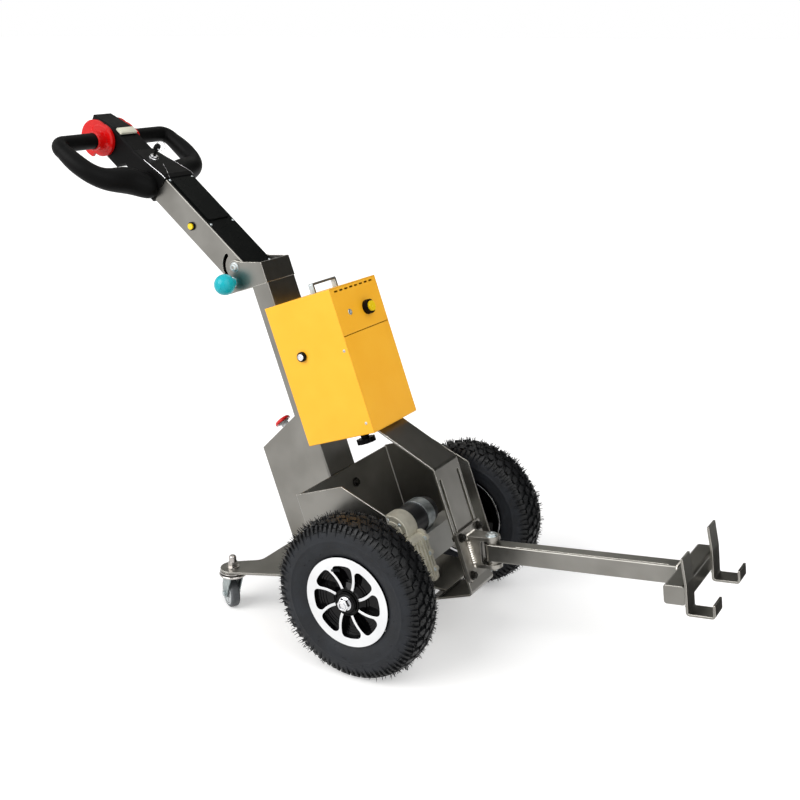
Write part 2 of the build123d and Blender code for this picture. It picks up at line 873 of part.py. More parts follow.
def motor():
    """Motor shell lying across the machine on the axle tube, with a stepped far end."""
    far = gearbox_far_y + motor_length
    shell = cross_post(motor_x, motor_z, gearbox_far_y, far - motor_cap_length, motor_radius)
    return shell + cross_post(motor_x, motor_z, far - motor_cap_length, far, motor_radius - motor_end_step)


def motor_band_ring():
    start = gearbox_far_y + motor_length - motor_cap_length - motor_band_length
    cut = motor_radius + play
    ring = cross_post(motor_x, motor_z, start, start + motor_band_length, cut + motor_band)
    keep_out = block(motor_x - cut, motor_x + cut, start - 1, start + motor_band_length + 1,
                     motor_z - beyond, motor_z - motor_radius + motor_band)
    return ring - cross_post(motor_x, motor_z, start - 1, start + motor_band_length + 1, cut) - keep_out


keep("gearbox_housing", gearbox(), body)
keep("axle_tubes", axle_tubes(), body)
keep("drive_motor", motor(), body)
keep("motor_band", motor_band_ring(), body)

# ---------------------------------------------------------------- hitch
plate_y = hitch_plate_width / 2


def hitch():
    """Slotted-on base plate, two ears square to the pin and a web on each side."""
    base = body * block(strap_front_x, strap_front_x + hitch_plate, -plate_y, plate_y,
                        hitch_plate_bottom, hitch_plate_top)
    keep_front = body * block(strap_front_x + 1, beyond, -plate_y, plate_y, -beyond, beyond)
    half = ear_gap / 2
    ears = block(-ear_reach, web_front, -web_thickness / 2, web_thickness / 2, -half, half)
    rise = (ear_gap - tow_tube_height) / 2 - play
    for sign in (1, -1):
        inner, outer = sign * half, sign * (half + ear_thickness)
        low, high = min(inner, outer), max(inner, outer)
        ears += block(-ear_reach, 0, -ear_tip_radius, ear_tip_radius, low, high)
        ears += post(0, 0, low, high, ear_tip_radius)
        spacer = sign * (half - rise)
        ears += post(0, 0, min(inner, spacer), max(inner, spacer), boss_radius)
    ears -= post(0, 0, -half - ear_thickness - 1, half + ear_thickness + 1, pin_radius + running)
    return base + (keep_front & (tow * ears))


def hitch_pin():
    half = ear_gap / 2 + ear_thickness
    pin = post(0, 0, -half - pin_tail, half + pin_head_height, pin_radius)
    return pin + post(0, 0, half, half + pin_head_height, pin_head_radius)


def hitch_bolts():
    """Hexagon nuts on studs through the strap's slots and the base plate."""
    nuts = []
    face = strap_front_x + hitch_plate
    for z in (hitch_bolt_low, hitch_bolt_high):
        for y in (slot_y, -slot_y):
            stud = forward_post(strap_front_x - strap_thickness - 10, face + hitch_nut_height + 4, y, z,
                                hitch_bolt_radius)
            nut = Rot(0, 90, 0) * hexagon(hitch_nut_across, hitch_nut_height)
            head = Rot(0, 90, 0) * hexagon(hitch_nut_across, 7)
            stud += Pos(face, y, z) * nut
            stud += Pos(strap_front_x - strap_thickness - 7, y, z) * head
            nuts.append(stud)
    return nuts


bolts = hitch_bolts()
hitch_piece = hitch()
for bolt in bolts:
    at = bolt.center()
    hitch_piece -= body * forward_post(strap_front_x - 1, strap_front_x + hitch_plate + 1, at.Y, at.Z,
                                       hitch_bolt_radius + play)
keep("hitch_bracket", hitch_piece)
keep("hitch_bolts", Compound(children=[body * bolt for bolt in bolts]))
keep("hitch_pin", hitch_pin(), tow)


# ---------------------------------------------------------------- tow arm
def tow_tube():
    half_h = tow_tube_height / 2
    half_w = tow_tube_width / 2
    tube = block(0, crossbar_x, -half_w, half_w, -half_h, half_h)
    tube = fillet(tube.edges().filter_by(Axis.X), tow_tube_bend) + post(0, 0, -half_h, half_h, half_w)
    inner_h = half_h - tow_tube_wall
    inner_w = half_w - tow_tube_wall
    tube -= block(-half_w - 1, crossbar_x + 1, -inner_w, inner_w, -inner_h, inner_h)
    tube -= post(0, 0, -half_h - 1, half_h + 1, pin_radius + running)
    groove = tow_slot_width / 2
    return tube - block(tow_slot_from, tow_slot_to, tow_slot_y - groove, tow_slot_y + groove, 0, half_h + 1)


def crossbar():
    """Closed square tube with a drain hole, across the end of the arm."""
    half = crossbar_height / 2
    long_half = crossbar_length / 2
    bar = block(crossbar_x, crossbar_x + crossbar_depth, -long_half, long_half, -half, half)
    bar = fillet(bar.edges().filter_by(Axis.Y), crossbar_corner)
    ends = bar.faces().sort_by(Axis.Y)
    bar = fillet(list(ends[0].edges()) + list(ends[-1].edges()), crossbar_edge)
    w = tow_tube_wall
    inside = long_half - crossbar_corner
    bar -= block(crossbar_x + w, crossbar_x + crossbar_depth - w, -inside, inside, -half + w, half - w)
    return bar - post(crossbar_x + crossbar_depth / 2, 0, -half - 1, -half + w + 1, drain_radius)


def hooks():
    mid = hook_thickness / 2
    face = crossbar_x + crossbar_depth
    bottom = -crossbar_height / 2 - hook_drop
    path = FilletPolyline(
        (face + mid - hook_flare, crossbar_height / 2 + hook_rise),
        (face + mid, crossbar_height / 2 + hook_thickness),
        (face + mid, bottom),
        (face + mid + hook_depth, bottom),
        (face + mid + hook_depth, bottom + hook_lip),
        radius=hook_bend_radius,
    )
    strip = trace(path, hook_thickness)
    outer = crossbar_length / 2
    far = upright(strip, outer - hook_width, outer)
    near = upright(strip, -outer, -outer + hook_width)
    return Compound(children=[near, far])


keep("tow_arm_tube", tow_tube(), tow)
keep("tow_crossbar", crossbar(), tow)
keep("tow_hooks", hooks(), tow)


# ---------------------------------------------------------------- casters
fork_top = plate_top - plate_thickness - swivel_gap
fork_crown = fork_top - swivel_height
fork_half = caster_wheel_width / 2 + fork_gap


def caster_fork():
    """Raceway cup and a bent fork, trailing towards -x, standing on z = 0."""
    cup = post(0, 0, fork_crown, fork_top, swivel_radius)
    cup = fillet(cup.faces().sort_by(Axis.Z)[0].edges(), swivel_height / 2)
    low = caster_wheel_radius
    cheek = outline(
        (fork_half_length, fork_crown),
        (-caster_trail + fork_foot, low - fork_foot),
        (-caster_trail - fork_foot, low - fork_foot),
        (-fork_half_length - fork_foot / 2, fork_crown),
    )
    fork = cup
    for y in (fork_half, -fork_half - fork_sheet):
        leg = upright(cheek, y, y + fork_sheet)
        foot = leg.edges().filter_by(Axis.Y).group_by(Axis.Z)[0]
        fork += fillet(foot, fork_foot * 0.7)
    fork += block(-fork_half_length - fork_foot / 2, fork_half_length, -fork_half - fork_sheet, fork_half + fork_sheet,
                  fork_crown - fork_sheet, fork_crown + swivel_height / 2)
    fork -= cross_post(-caster_trail, low, -fork_half - fork_sheet - 1, fork_half + fork_sheet + 1,
                       caster_axle_radius + running)
    return fork - post(0, 0, fork_crown - fork_sheet - 1, fork_top + 1, caster_stem_radius + running)


def caster_wheel():
    half = caster_wheel_width / 2
    wheel = cross_post(-caster_trail, caster_wheel_radius, -half, half, caster_wheel_radius)
    wheel = fillet(wheel.edges(), caster_tread_round)
    for sign in (1, -1):
        low, high = sorted((sign * (half - caster_web_sink), sign * (half + 1)))
        dish = cross_post(-caster_trail, caster_wheel_radius, low, high, caster_core_radius)
        dish -= cross_post(-caster_trail, caster_wheel_radius, low, high, caster_hub_radius)
        wheel -= dish
    return wheel - cross_post(-caster_trail, caster_wheel_radius, -half - 1, half + 1, caster_axle_radius + running)


def caster_axle():
    half = fork_half + fork_sheet
    rod = cross_post(-caster_trail, caster_wheel_radius, -half, half, caster_axle_radius)
    for y in (half, -half - caster_axle_proud):
        rod += cross_post(-caster_trail, caster_wheel_radius, y, y + caster_axle_proud, caster_axle_head)
    for y in (caster_wheel_width / 2 + play, -fork_half):
        rod += cross_post(-caster_trail, caster_wheel_radius, y, y + fork_gap - play, caster_axle_head)
    return rod


def caster_stem():
    """Fixed king pin: a clinch below the fork, a flange on top, and a domed nut above the plate."""
    under = fork_crown - fork_sheet - play
    top = plate_top + caster_washer_height + caster_nut_height + caster_dome_height
    stem = post(0, 0, under - caster_clinch, plate_top + 1, caster_stem_radius)
    stem += post(0, 0, under - caster_clinch, under, caster_clinch_radius)
    stem += post(0, 0, fork_top + play, plate_top - plate_thickness, caster_flange_radius)
    stem += post(0, 0, plate_top, plate_top + caster_washer_height, caster_washer_radius)
    nut = Pos(0, 0, plate_top + caster_washer_height) * hexagon(caster_nut_across, caster_nut_height)
    dome = post(0, 0, plate_top + caster_washer_height, top, caster_dome_radius)
    dome = fillet(dome.faces().sort_by(Axis.Z)[-1].edges(), caster_dome_radius * 0.8)
    return stem + nut + dome


for side, sign in (("left", 1), ("right", -1)):
    place = Location((caster_x, sign * caster_y, 0), (0, 0, -caster_turn))
    keep(f"{side}_caster_fork", caster_fork(), place)
    keep(f"{side}_caster_wheel", caster_wheel(), place)
    keep(f"{side}_caster_axle", caster_axle(), place)
keep("caster_stems", Compound(children=[
    Pos(caster_x, caster_y, 0) * caster_stem(),
    Pos(caster_x, -caster_y, 0) * caster_stem(),
]))


# ---------------------------------------------------------------- tiller
clamp_out = (clamp_x - pivot_x) * cos(radians(tiller_lean)) + (clamp_z - pivot_z) * sin(radians(tiller_lean))
clamp_up = -(clamp_x - pivot_x) * sin(radians(tiller_lean)) + (clamp_z - pivot_z) * cos(radians(tiller_lean))
clamp_reach = (clamp_out ** 2 + clamp_up ** 2) ** 0.5


def tiller_arm():
    half = arm_width / 2
    arm = block(arm_under, arm_top, -half, half, arm_tail, arm_end)
    arm = fillet(arm.edges().filter_by(Axis.Z), arm_bend)
    w = arm_wall
    arm -= block(arm_under + w, arm_top - w, -half + w, half - w, arm_tail - 1, arm_end + 1)
    arm -= cross_post(0, 0, -half - 1, half + 1, pivot_bolt_radius + running)

    def on_arc(angle, reach):
        return (reach * cos(radians(angle)), reach * sin(radians(angle)))

    start, end = arm_slot_from, arm_slot_to
    width = clamp_screw_radius + play
    middle = (start + end) / 2
    slot = make_face([
        ThreePointArc(on_arc(start, clamp_reach - width), on_arc(middle, clamp_reach - width),
                      on_arc(end, clamp_reach - width)),
        Line(on_arc(end, clamp_reach - width), on_arc(end, clamp_reach + width)),
        ThreePointArc(on_arc(end, clamp_reach + width), on_arc(middle, clamp_reach + width),
                      on_arc(start, clamp_reach + width)),
        Line(on_arc(start, clamp_reach + width), on_arc(start, clamp_reach - width)),
    ])
    arm -= upright(slot, -half - 1, half + 1)
    for angle in (start, end):
        x, z = on_arc(angle, clamp_reach)
        arm -= cross_post(x, z, -half - 1, half + 1, width)
    return arm


def arm_cover():
    """Flat black cover screwed along the arm's top."""
    return block(arm_top, arm_top + cover_thickness, -cover_width / 2, cover_width / 2, cover_from, neck_start - play)


def arm_panel():
    low = arm_top + cover_thickness
    panel = block(low, low + panel_rise, -panel_width / 2, panel_width / 2, panel_from, panel_to)
    return fillet(panel.edges().filter_by(Axis.X), panel_corner)


def side_button(radius, low, high):
    y = -arm_width / 2
    return cross_post(side_button_drop, side_button_at, y - high, y - low, radius)


def handle_loop():
    """Sleeve over the arm's end, a neck and a closed handle whose sides swell into the sleeve, in one moulding."""
    neck_middle = (neck_top + neck_under) / 2
    sleeve_face = RectangleRounded(neck_top - neck_under, neck_width, neck_corner)
    sleeve = Pos(neck_middle, 0, neck_start) * extrude(sleeve_face, amount=neck_collar - neck_start)
    pod_middle = (pod_top + pod_low) / 2
    neck = loft([
        Pos(neck_middle, 0, neck_collar) * sleeve_face,
        Pos(pod_middle, 0, pod_start) * RectangleRounded(pod_top - pod_low, neck_pod_width, neck_pod_corner),
    ])
    flat = Plane(origin=(0, 0, 0), x_dir=(0, 1, 0), z_dir=(1, 0, 0))
    corners = ((0, grip_reach), (grip_half, grip_reach), (grip_half, loop_side_reach))
    wire = flat * FilletPolyline(*corners, radius=loop_corner)
    bow = sweep(Plane(origin=wire @ 0, z_dir=wire % 0) * Circle(loop_radius), path=wire)
    sections = []
    # columns: half width, along the tilted plane, in-plane half size, half thickness, turn in degrees
    for y, reach, wide, thick, turn in (
        (grip_half, loop_side_reach, loop_radius, loop_radius, 0),
        (206, 136, 24, 24, 3),
        (200, 96, 25, 25, 20),
        (176, 58, 28, 27, 50),
        (134, 42, 34, 32, 70),
        (90, 26, 38, 34, 70),
        (40, 6, 38, 32, 75),
    ):
        heading = (0, -sin(radians(turn)), -cos(radians(turn)))
        across = (0, cos(radians(turn)), -sin(radians(turn)))
        sections.append(Plane(origin=(0, y, reach), x_dir=across, z_dir=heading) * Ellipse(wide, thick))
    bow += loft(sections)
    head = sleeve + neck + leaning(loop_tilt, loop_foot_x, 0, loop_foot_z) * (bow + mirrored(bow))
    wide = arm_width / 2 + play
    socket = block(arm_under - play, arm_top + play, -wide, wide, neck_start - 5, arm_end + play)
    return head - socket - block(arm_top, arm_top + cover_thickness, -cover_width / 2, cover_width / 2,
                                 neck_start - 5, neck_start)


def control_pod():
    """Switch housing that clasps the middle of the grip bar."""
    half = pod_width / 2
    shape = outline(
        (pod_top, pod_start),
        (pod_top, pod_slope_from),
        (pod_nose_top, pod_end),
        (pod_nose_under, pod_end - pod_nose_cut),
        (pod_under, pod_end - pod_chin),
        (pod_under, pod_start + pod_heel),
        (pod_low, pod_start),
    )
    pod = upright(shape, -half, half)
    sides = [e for e in pod.edges() if abs(abs(e.center().Y) - half) < 0.1 and e.center().Z > pod_start + 1]
    pod = chamfer(sides, pod_edge)
    return pod - cross_post(grip_x, grip_z, -half - 1, half + 1, loop_radius + play)


def rocker():
    half = rocker_width / 2
    return block(pod_top, pod_top + rocker_height, rocker_y - half, rocker_y + half,
                 rocker_z - rocker_length / 2, rocker_z + rocker_length / 2)


def key_switch():
    """Lock barrel with its key in it, square to the sloping top of the neck."""
    top = key_height
    ring = forward_post(play, top, 0, 0, key_radius)
    half_width, half_thickness = key_blade_width / 2, key_blade_thickness / 2
    ring += block(top, top + key_blade + 2, -half_width, half_width, -half_thickness, half_thickness)
    bow = Pos(top + key_blade + key_bow, 0, -key_bow_thickness / 2) * Cylinder(
        key_bow, key_bow_thickness, align=(Align.CENTER, Align.CENTER, Align.MIN))
    return leaning(neck_slope, key_seat_x, key_y, key_z) * (ring + bow)


def throttle():
    """Thumb throttle on each side of the pod: a dial with a lobe above it, a rib and a hub round the grip."""
    start = pod_width / 2 + throttle_gap
    face = start + throttle_depth
    dial = cross_post(grip_x, grip_z, start, face, throttle_radius)
    dial = chamfer(dial.faces().sort_by(Axis.Y)[-1].edges(), throttle_bevel)
    lobe = cross_post(grip_x - throttle_lobe_drop, grip_z + throttle_lobe_shift, start, start + throttle_plate,
                      throttle_lobe)
    lobe &= block(grip_x - beyond, grip_x + beyond, start, face, grip_z, grip_z + beyond)
    rib = block(grip_x - throttle_rib_half, grip_x + throttle_rib_half, start, face + throttle_rib_proud,
                grip_z + throttle_rib_low, grip_z + throttle_rib_high)
    rib = chamfer(rib.faces().sort_by(Axis.Y)[-1].edges(), throttle_bevel)
    hub = cross_post(grip_x, grip_z, start, start + throttle_hub_depth, throttle_hub)
    hub = fillet(hub.faces().sort_by(Axis.Y)[-1].edges(), throttle_bevel / 2)
    wing = dial + lobe + rib + hub
    wing -= cross_post(grip_x, grip_z, start - 1, start + throttle_hub_depth + 1, loop_radius + play)
    return Compound(children=[wing, mirrored(wing)])


keep("tiller_arm", tiller_arm(), tiller)
keep("tiller_cover", arm_cover(), tiller)
keep("tiller_panel", arm_panel(), tiller)
keep("side_button_bezel", side_button(side_button_bezel, 0, side_button_rim), tiller)
keep("side_button_cap", side_button(side_button_radius, side_button_rim, side_button_proud), tiller)
keep("handle_loop", handle_loop(), tiller)
keep("control_pod", control_pod(), tiller)
keep("rocker_switch", rocker(), tiller)
keep("key_switch", key_switch(), tiller)
keep("throttle_wings", throttle(), tiller)

# ---------------------------------------------------------------- centre the footprint and write
boxes = [piece.bounding_box() for piece in parts.values()]
rear_x = min(box.min.X for box in boxes)
front_x = max(box.max.X for box in boxes)
shift_x = -(rear_x + front_x) / 2
print("shift_x", round(shift_x, 3), "length", round(front_x - rear_x, 1))
print("width", round(max(box.max.Y for box in boxes) - min(box.min.Y for box in boxes), 1))
print("height", round(max(box.max.Z for box in boxes), 1), "lowest", round(min(box.min.Z for box in boxes), 2))
for name, piece in parts.items():
    export_step(Pos(shift_x, 0, 0) * piece, f"parts/{name}.step")
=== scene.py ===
# %% [markdown]
# # Dressing a walk-behind tow tractor
#
# The CAD part holds every plate, tube, wheel and knob of the machine. This lesson gives those solids
# their real finishes, and adds what is too small or too soft for CAD: tread, screws, welds and trim.
# Each piece is placed in a leaning frame of the CAD part and rides on one of its bodies, so it stays
# where it belongs when a joint moves.

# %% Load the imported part
import json
import math
import random

import bmesh
import bpy
from mathutils import Matrix, Vector


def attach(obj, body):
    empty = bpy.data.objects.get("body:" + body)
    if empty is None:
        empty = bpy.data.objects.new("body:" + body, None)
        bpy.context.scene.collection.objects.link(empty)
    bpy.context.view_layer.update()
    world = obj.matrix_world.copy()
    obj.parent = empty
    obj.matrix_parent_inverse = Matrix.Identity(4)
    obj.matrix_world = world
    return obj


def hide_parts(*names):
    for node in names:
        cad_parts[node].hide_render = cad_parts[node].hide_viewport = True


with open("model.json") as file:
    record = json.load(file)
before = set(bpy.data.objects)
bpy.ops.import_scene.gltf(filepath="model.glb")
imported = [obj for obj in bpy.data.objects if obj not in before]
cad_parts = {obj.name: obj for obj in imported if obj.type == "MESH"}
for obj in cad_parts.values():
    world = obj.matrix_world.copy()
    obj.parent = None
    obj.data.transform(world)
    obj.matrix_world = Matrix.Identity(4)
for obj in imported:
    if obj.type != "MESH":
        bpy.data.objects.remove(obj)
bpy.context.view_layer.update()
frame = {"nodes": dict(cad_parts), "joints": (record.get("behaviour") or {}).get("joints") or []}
nodes = frame["nodes"]
joints = {joint["name"]: joint for joint in frame["joints"]}
scene = bpy.context.scene
print("CAD nodes:", len(nodes), "joints:", len(joints))

# %% [markdown]
# ## Where things are
#
# The machine is built on three leaning lines: the upright body leans back about the wheels' axle,
# the tiller leans further from its pivot, and the tow arm leans back a little at its pin. A frame is
# a matrix whose z axis runs along such a line, so a screw on the tiller is placed in the tiller's
# own millimetres. Blender works in metres, so each finished mesh is scaled once, at the end.

# %% The three leaning frames
MM = 0.001
BODY_LEAN, TILLER_LEAN, TOW_LEAN = 20.3, 31.1, 7.5

axle = Vector(joints["left_wheel_spin"]["pos_m"])
half_track = axle.y / MM
axle.y = 0.0


def placed(x, y, z, angle=0, axis="Y"):
    """A placement, turned about one axis by an angle in degrees."""
    return Matrix.Translation((x, y, z)) @ Matrix.Rotation(math.radians(angle), 4, axis)


body_at = placed(*axle, -BODY_LEAN)
tiller_at = placed(*joints["tiller_fold"]["pos_m"], -BODY_LEAN - TILLER_LEAN)
tow_at = placed(*joints["tow_arm_swing"]["pos_m"], -TOW_LEAN)
wheel_at = placed(*axle)
print("axle height", round(axle.z, 3), "half track", round(half_track, 1))

# %% [markdown]
# ## The camera and the studio
#
# The machine stands on a pale floor that runs to the horizon, under a broad key light from the
# operator's right and a weak one from the front. Broad suns keep the floor even and the shadows soft.
# The world is a soft grey light for the surfaces and plain white behind them.

# %% The camera
CAMERA_FROM_AXLE = Vector((1.342, -2.328, 1.279))
CAMERA_LOOKS = Vector((-0.489, 0.815, -0.309))
LENS = 51.47

camera = bpy.data.objects.new("camera", bpy.data.cameras.new("camera"))
scene.collection.objects.link(camera)
camera.data.lens = LENS
camera.data.sensor_width = 36.0
camera.data.clip_end = 500.0
camera.location = axle + CAMERA_FROM_AXLE
camera.rotation_euler = CAMERA_LOOKS.to_track_quat("-Z", "Y").to_euler()
scene.camera = camera
scene.view_settings.view_transform = "Standard"
print("camera at", [round(v, 3) for v in camera.location])

# %% One function for colour, one for nodes, one for circles
def linear(code):
    """An sRGB hex colour as linear RGBA."""
    channels = [int(code[i:i + 2], 16) / 255 for i in (1, 3, 5)]
    return tuple(c / 12.92 if c <= 0.04045 else ((c + 0.055) / 1.055) ** 2.4 for c in channels) + (1.0,)


def add(tree, kind, inputs=(), **settings):
    """Adds a node. An input is a value or another node's output."""
    node = tree.nodes.new(kind)
    for key, value in settings.items():
        setattr(node, key, value)
    for key, value in dict(inputs).items():
        if isinstance(value, bpy.types.NodeSocket):
            tree.links.new(value, node.inputs[key])
        else:
            node.inputs[key].default_value = value
    return node


def per_metre(size_mm):
    """Texture scale for a feature of this size."""
    return 1.0 / (size_mm * MM)


def around(radius, angle):
    """A point on a circle about the origin, at an angle in degrees."""
    return radius * math.cos(math.radians(angle)), radius * math.sin(math.radians(angle))


# %% The world
def seen_or_mirrored(tree):
    """The Light Path node, and 1 for rays that come straight from the camera or off a gloss."""
    path = add(tree, "ShaderNodeLightPath")
    rays = {0: path.outputs["Is Camera Ray"], 1: path.outputs["Is Glossy Ray"]}
    return path, add(tree, "ShaderNodeMath", rays, operation="MAXIMUM").outputs[0]


AMBIENT = 0.46
world = bpy.data.worlds.new("studio")
scene.world = world
world.use_nodes = True
tree = world.node_tree
tree.nodes.clear()
path, seen = seen_or_mirrored(tree)
seen = add(tree, "ShaderNodeMath", {0: seen, 1: path.outputs["Is Transmission Ray"]}, operation="MAXIMUM")
soft = add(tree, "ShaderNodeBackground", {"Color": linear("#F4F6FA"), "Strength": AMBIENT})
white = add(tree, "ShaderNodeBackground", {"Color": (1, 1, 1, 1), "Strength": 1.0})
both = add(tree, "ShaderNodeMixShader", {0: seen.outputs[0], 1: soft.outputs[0], 2: white.outputs[0]})
add(tree, "ShaderNodeOutputWorld", {"Surface": both.outputs[0]})
print("ambient", AMBIENT)

# %% The lamps
# columns: name, where the light comes from, strength, softness in degrees
for name, source, strength, softness in (
    ("key", (-0.42, -0.82, 0.62), 2.35, 50.0),
    ("front", (0.9, -0.25, 0.8), 1.15, 60.0),
):
    lamp = bpy.data.objects.new(name, bpy.data.lights.new(name, "SUN"))
    lamp.data.energy = strength
    lamp.data.angle = math.radians(softness)
    lamp.rotation_euler = Vector(source).to_track_quat("Z", "Y").to_euler()
    scene.collection.objects.link(lamp)
    print(name, "lamp", strength)

# %% The floor
FLOOR_HALF = 150.0
# glow that brings the paper to white where it is seen, but lights nothing
FLOOR_LIFT = 0.30
floor_mesh = bpy.data.meshes.new("floor")
corners = [(x * FLOOR_HALF, y * FLOOR_HALF, 0) for x, y in ((-1, -1), (1, -1), (1, 1), (-1, 1))]
floor_mesh.from_pydata(corners, [], [(0, 1, 2, 3)])
floor = bpy.data.objects.new("floor", floor_mesh)
scene.collection.objects.link(floor)
paper = bpy.data.materials.new("pale_floor")
paper.use_nodes = True
tree = paper.node_tree
shader = tree.nodes["Principled BSDF"]
shader.inputs["Base Color"].default_value = linear("#F2F1EF")
shader.inputs["Roughness"].default_value = 0.9
shader.inputs["Specular IOR Level"].default_value = 0.1
lift = add(tree, "ShaderNodeMath", {0: seen_or_mirrored(tree)[1], 1: FLOOR_LIFT}, operation="MULTIPLY")
shader.inputs["Emission Color"].default_value = (1, 1, 1, 1)
tree.links.new(lift.outputs[0], shader.inputs["Emission Strength"])
floor_mesh.materials.append(paper)
print("floor half width", FLOOR_HALF)

# %% [markdown]
# A studio hangs black and grey cards beside the set, so that metal has something dark to reflect.
# These are such cards: only reflections see them, and they give no shade.

# %% The cards
# columns: distance and height in metres, from the card's lower edge up or its inner edge out
HANGING = ((7.0, 0.55), (7.0, 3.0), (6.4, 7.5))
MAT = ((0.95, 0.012), (2.7, 0.012))
CARD_STEP = 6
# columns: name, profile, first and last direction in degrees, colour of the felt
for name, profile, first, final, tint in (
    ("black_card", HANGING, 16, 106, "#1A1914"),
    ("grey_card", HANGING, 106, 160, "#A9A8A3"),
    ("black_mat", MAT, 10, 70, "#1A1914"),
):
    card_mesh = bpy.data.meshes.new(name)
    bm = bmesh.new()
    last = None
    for angle in range(first, final + 1, CARD_STEP):
        row = [bm.verts.new((*around(r, angle), z)) for r, z in profile]
        if last:
            for i in range(len(row) - 1):
                bm.faces.new((last[i], row[i], row[i + 1], last[i + 1]))
        last = row
    bm.to_mesh(card_mesh)
    bm.free()
    card = bpy.data.objects.new(name, card_mesh)
    scene.collection.objects.link(card)
    felt = bpy.data.materials.new(name + "_felt")
    felt.use_nodes = True
    shader = felt.node_tree.nodes["Principled BSDF"]
    shader.inputs["Base Color"].default_value = linear(tint)
    shader.inputs["Roughness"].default_value = 1.0
    card_mesh.materials.append(felt)
    card.visible_camera = False
    card.visible_diffuse = False
    card.visible_shadow = False
    card.visible_transmission = False
    print(name, "from", first, "to", final, "degrees")

# %% [markdown]
# ## Finishes
#
# Nearly every surface here is a sheet or a moulding with an even colour, so what makes it real is
# the small unevenness: a slow drift of tone, a fine grain in the gloss and a relief of a few
# hundredths of a millimetre. One recipe makes these three from two noises, and each finish gives it
# its own numbers. Cut and folded edges catch a line of light, which a Bevel node rounds in.
# On the frame's powder coat the colour is also painted lighter beside each edge: a painted highlight.

# %% The common recipe
def finish(name, tones, metallic, roughness, grain, relief, drift=90.0, edge=0.0, edge_highlight_tone=None, **sockets):
    """A material. tones: two hex colours; roughness: lowest and highest; the rest in mm, but the painted edge
    highlight's colour.
    """
    made = bpy.data.materials.new(name)
    made.use_nodes = True
    tree = made.node_tree
    shader = tree.nodes["Principled BSDF"]
    shader.inputs["Metallic"].default_value = metallic
    for key, value in sockets.items():
        shader.inputs[key.replace("_", " ")].default_value = value
    where = add(tree, "ShaderNodeTexCoord").outputs["Object"]
    fine = {"Vector": where, "Scale": per_metre(grain), "Detail": 4.0}
    fine = add(tree, "ShaderNodeTexNoise", fine).outputs["Fac"]
    slow = {"Vector": where, "Scale": per_metre(drift), "Detail": 2.0}
    slow = add(tree, "ShaderNodeTexNoise", slow).outputs["Fac"]
    tone = add(tree, "ShaderNodeMapRange", {"Value": slow, "From Min": 0.35, "From Max": 0.65}).outputs[0]
    pair = {0: tone, 6: linear(tones[0]), 7: linear(tones[1])}
    tint = add(tree, "ShaderNodeMix", pair, data_type="RGBA").outputs[2]
    spread = {"Value": fine, "From Min": 0.3, "From Max": 0.7, "To Min": roughness[0], "To Max": roughness[1]}
    tree.links.new(add(tree, "ShaderNodeMapRange", spread).outputs[0], shader.inputs["Roughness"])
    bump = add(tree, "ShaderNodeBump", {"Height": fine, "Strength": 1.0, "Distance": relief * MM})
    if edge:
        round_edge = add(tree, "ShaderNodeBevel", {"Radius": edge * MM}, samples=4)
        tree.links.new(round_edge.outputs[0], bump.inputs["Normal"])
    if edge_highlight_tone:
        # the rounded normal turns away from the true one only beside an edge, and there the colour is painted
        # lighter: a painted highlight
        normals = {0: round_edge.outputs[0], 1: add(tree, "ShaderNodeNewGeometry").outputs["Normal"]}
        bent = add(tree, "ShaderNodeVectorMath", normals, operation="DOT_PRODUCT").outputs["Value"]
        edge_highlight_mask = add(tree, "ShaderNodeMapRange", {"Value": bent, "From Min": 0.985, "From Max": 0.86})
        pair = {0: edge_highlight_mask.outputs[0], 6: tint, 7: linear(edge_highlight_tone)}
        tint = add(tree, "ShaderNodeMix", pair, data_type="RGBA").outputs[2]
    tree.links.new(tint, shader.inputs["Base Color"])
    tree.links.new(bump.outputs[0], shader.inputs["Normal"])
    print("finish:", name)
    return made


# %% [markdown]
# The frame is steel sheet with a metallic grey powder coat. Aluminium flake lies in a clear resin, so
# it reflects the room like dull metal: pale where it faces the floor, nearly black where it faces the
# dark. The flake gives a fine sparkle, and the cured resin a soft orange peel.

# %% Finishes of the frame and the box
COAT = (("#7E7C77", "#898782"), 1.0, (0.285, 0.33), 9.0, 0.0012)
# its edges carry a painted highlight: a pale tone mixed into the colour beside each edge
gunmetal = finish("metallic_grey_powder_coat_on_steel", *COAT, edge=1.9, edge_highlight_tone="#DEDAD0")
# The same coat over ground welds, with no rounded edge to catch the light and no painted edge highlight.
flush_coat = finish("metallic_grey_powder_coat_on_ground_weld", *COAT)
# Yellow powder coat: a plastic skin over folded sheet, smooth with a slight orange peel.
yellow_coat = finish("yellow_powder_coat_on_steel", ("#FCB41C", "#FEB924"), 0.0, (0.34, 0.44), 3.0, 0.02,
                     edge=1.2)
# Aluminium paint on the axle tubes: flake in lacquer, softer than the powder coat.
silver_paint = finish("aluminium_paint_on_steel", ("#A5A49F", "#B3B2AD"), 0.6, (0.40, 0.55), 3.0, 0.02,
                      edge=0.8)
# Black satin enamel on the motor's drawn steel shell.
motor_enamel = finish("black_satin_enamel_on_steel", ("#161617", "#1E1E20"), 0.0, (0.28, 0.40), 3.0, 0.03,
                      edge=1.0)

# %% Finishes of bare and plated metal
# Sand-cast aluminium: pale, matt and pitted at about a millimetre.
cast = finish("sand_cast_aluminium", ("#B9B5A6", "#CBC7B8"), 0.55, (0.48, 0.66), 2.2, 0.35,
              drift=25.0, edge=1.5)
# Bright zinc plate on pressed steel: bluish, with soft cloudy crystals.
zinc = finish("bright_zinc_plate_on_steel", ("#AEB6B8", "#C9CFD0"), 1.0, (0.285, 0.40), 5.0, 0.03,
              drift=14.0, edge=0.8)
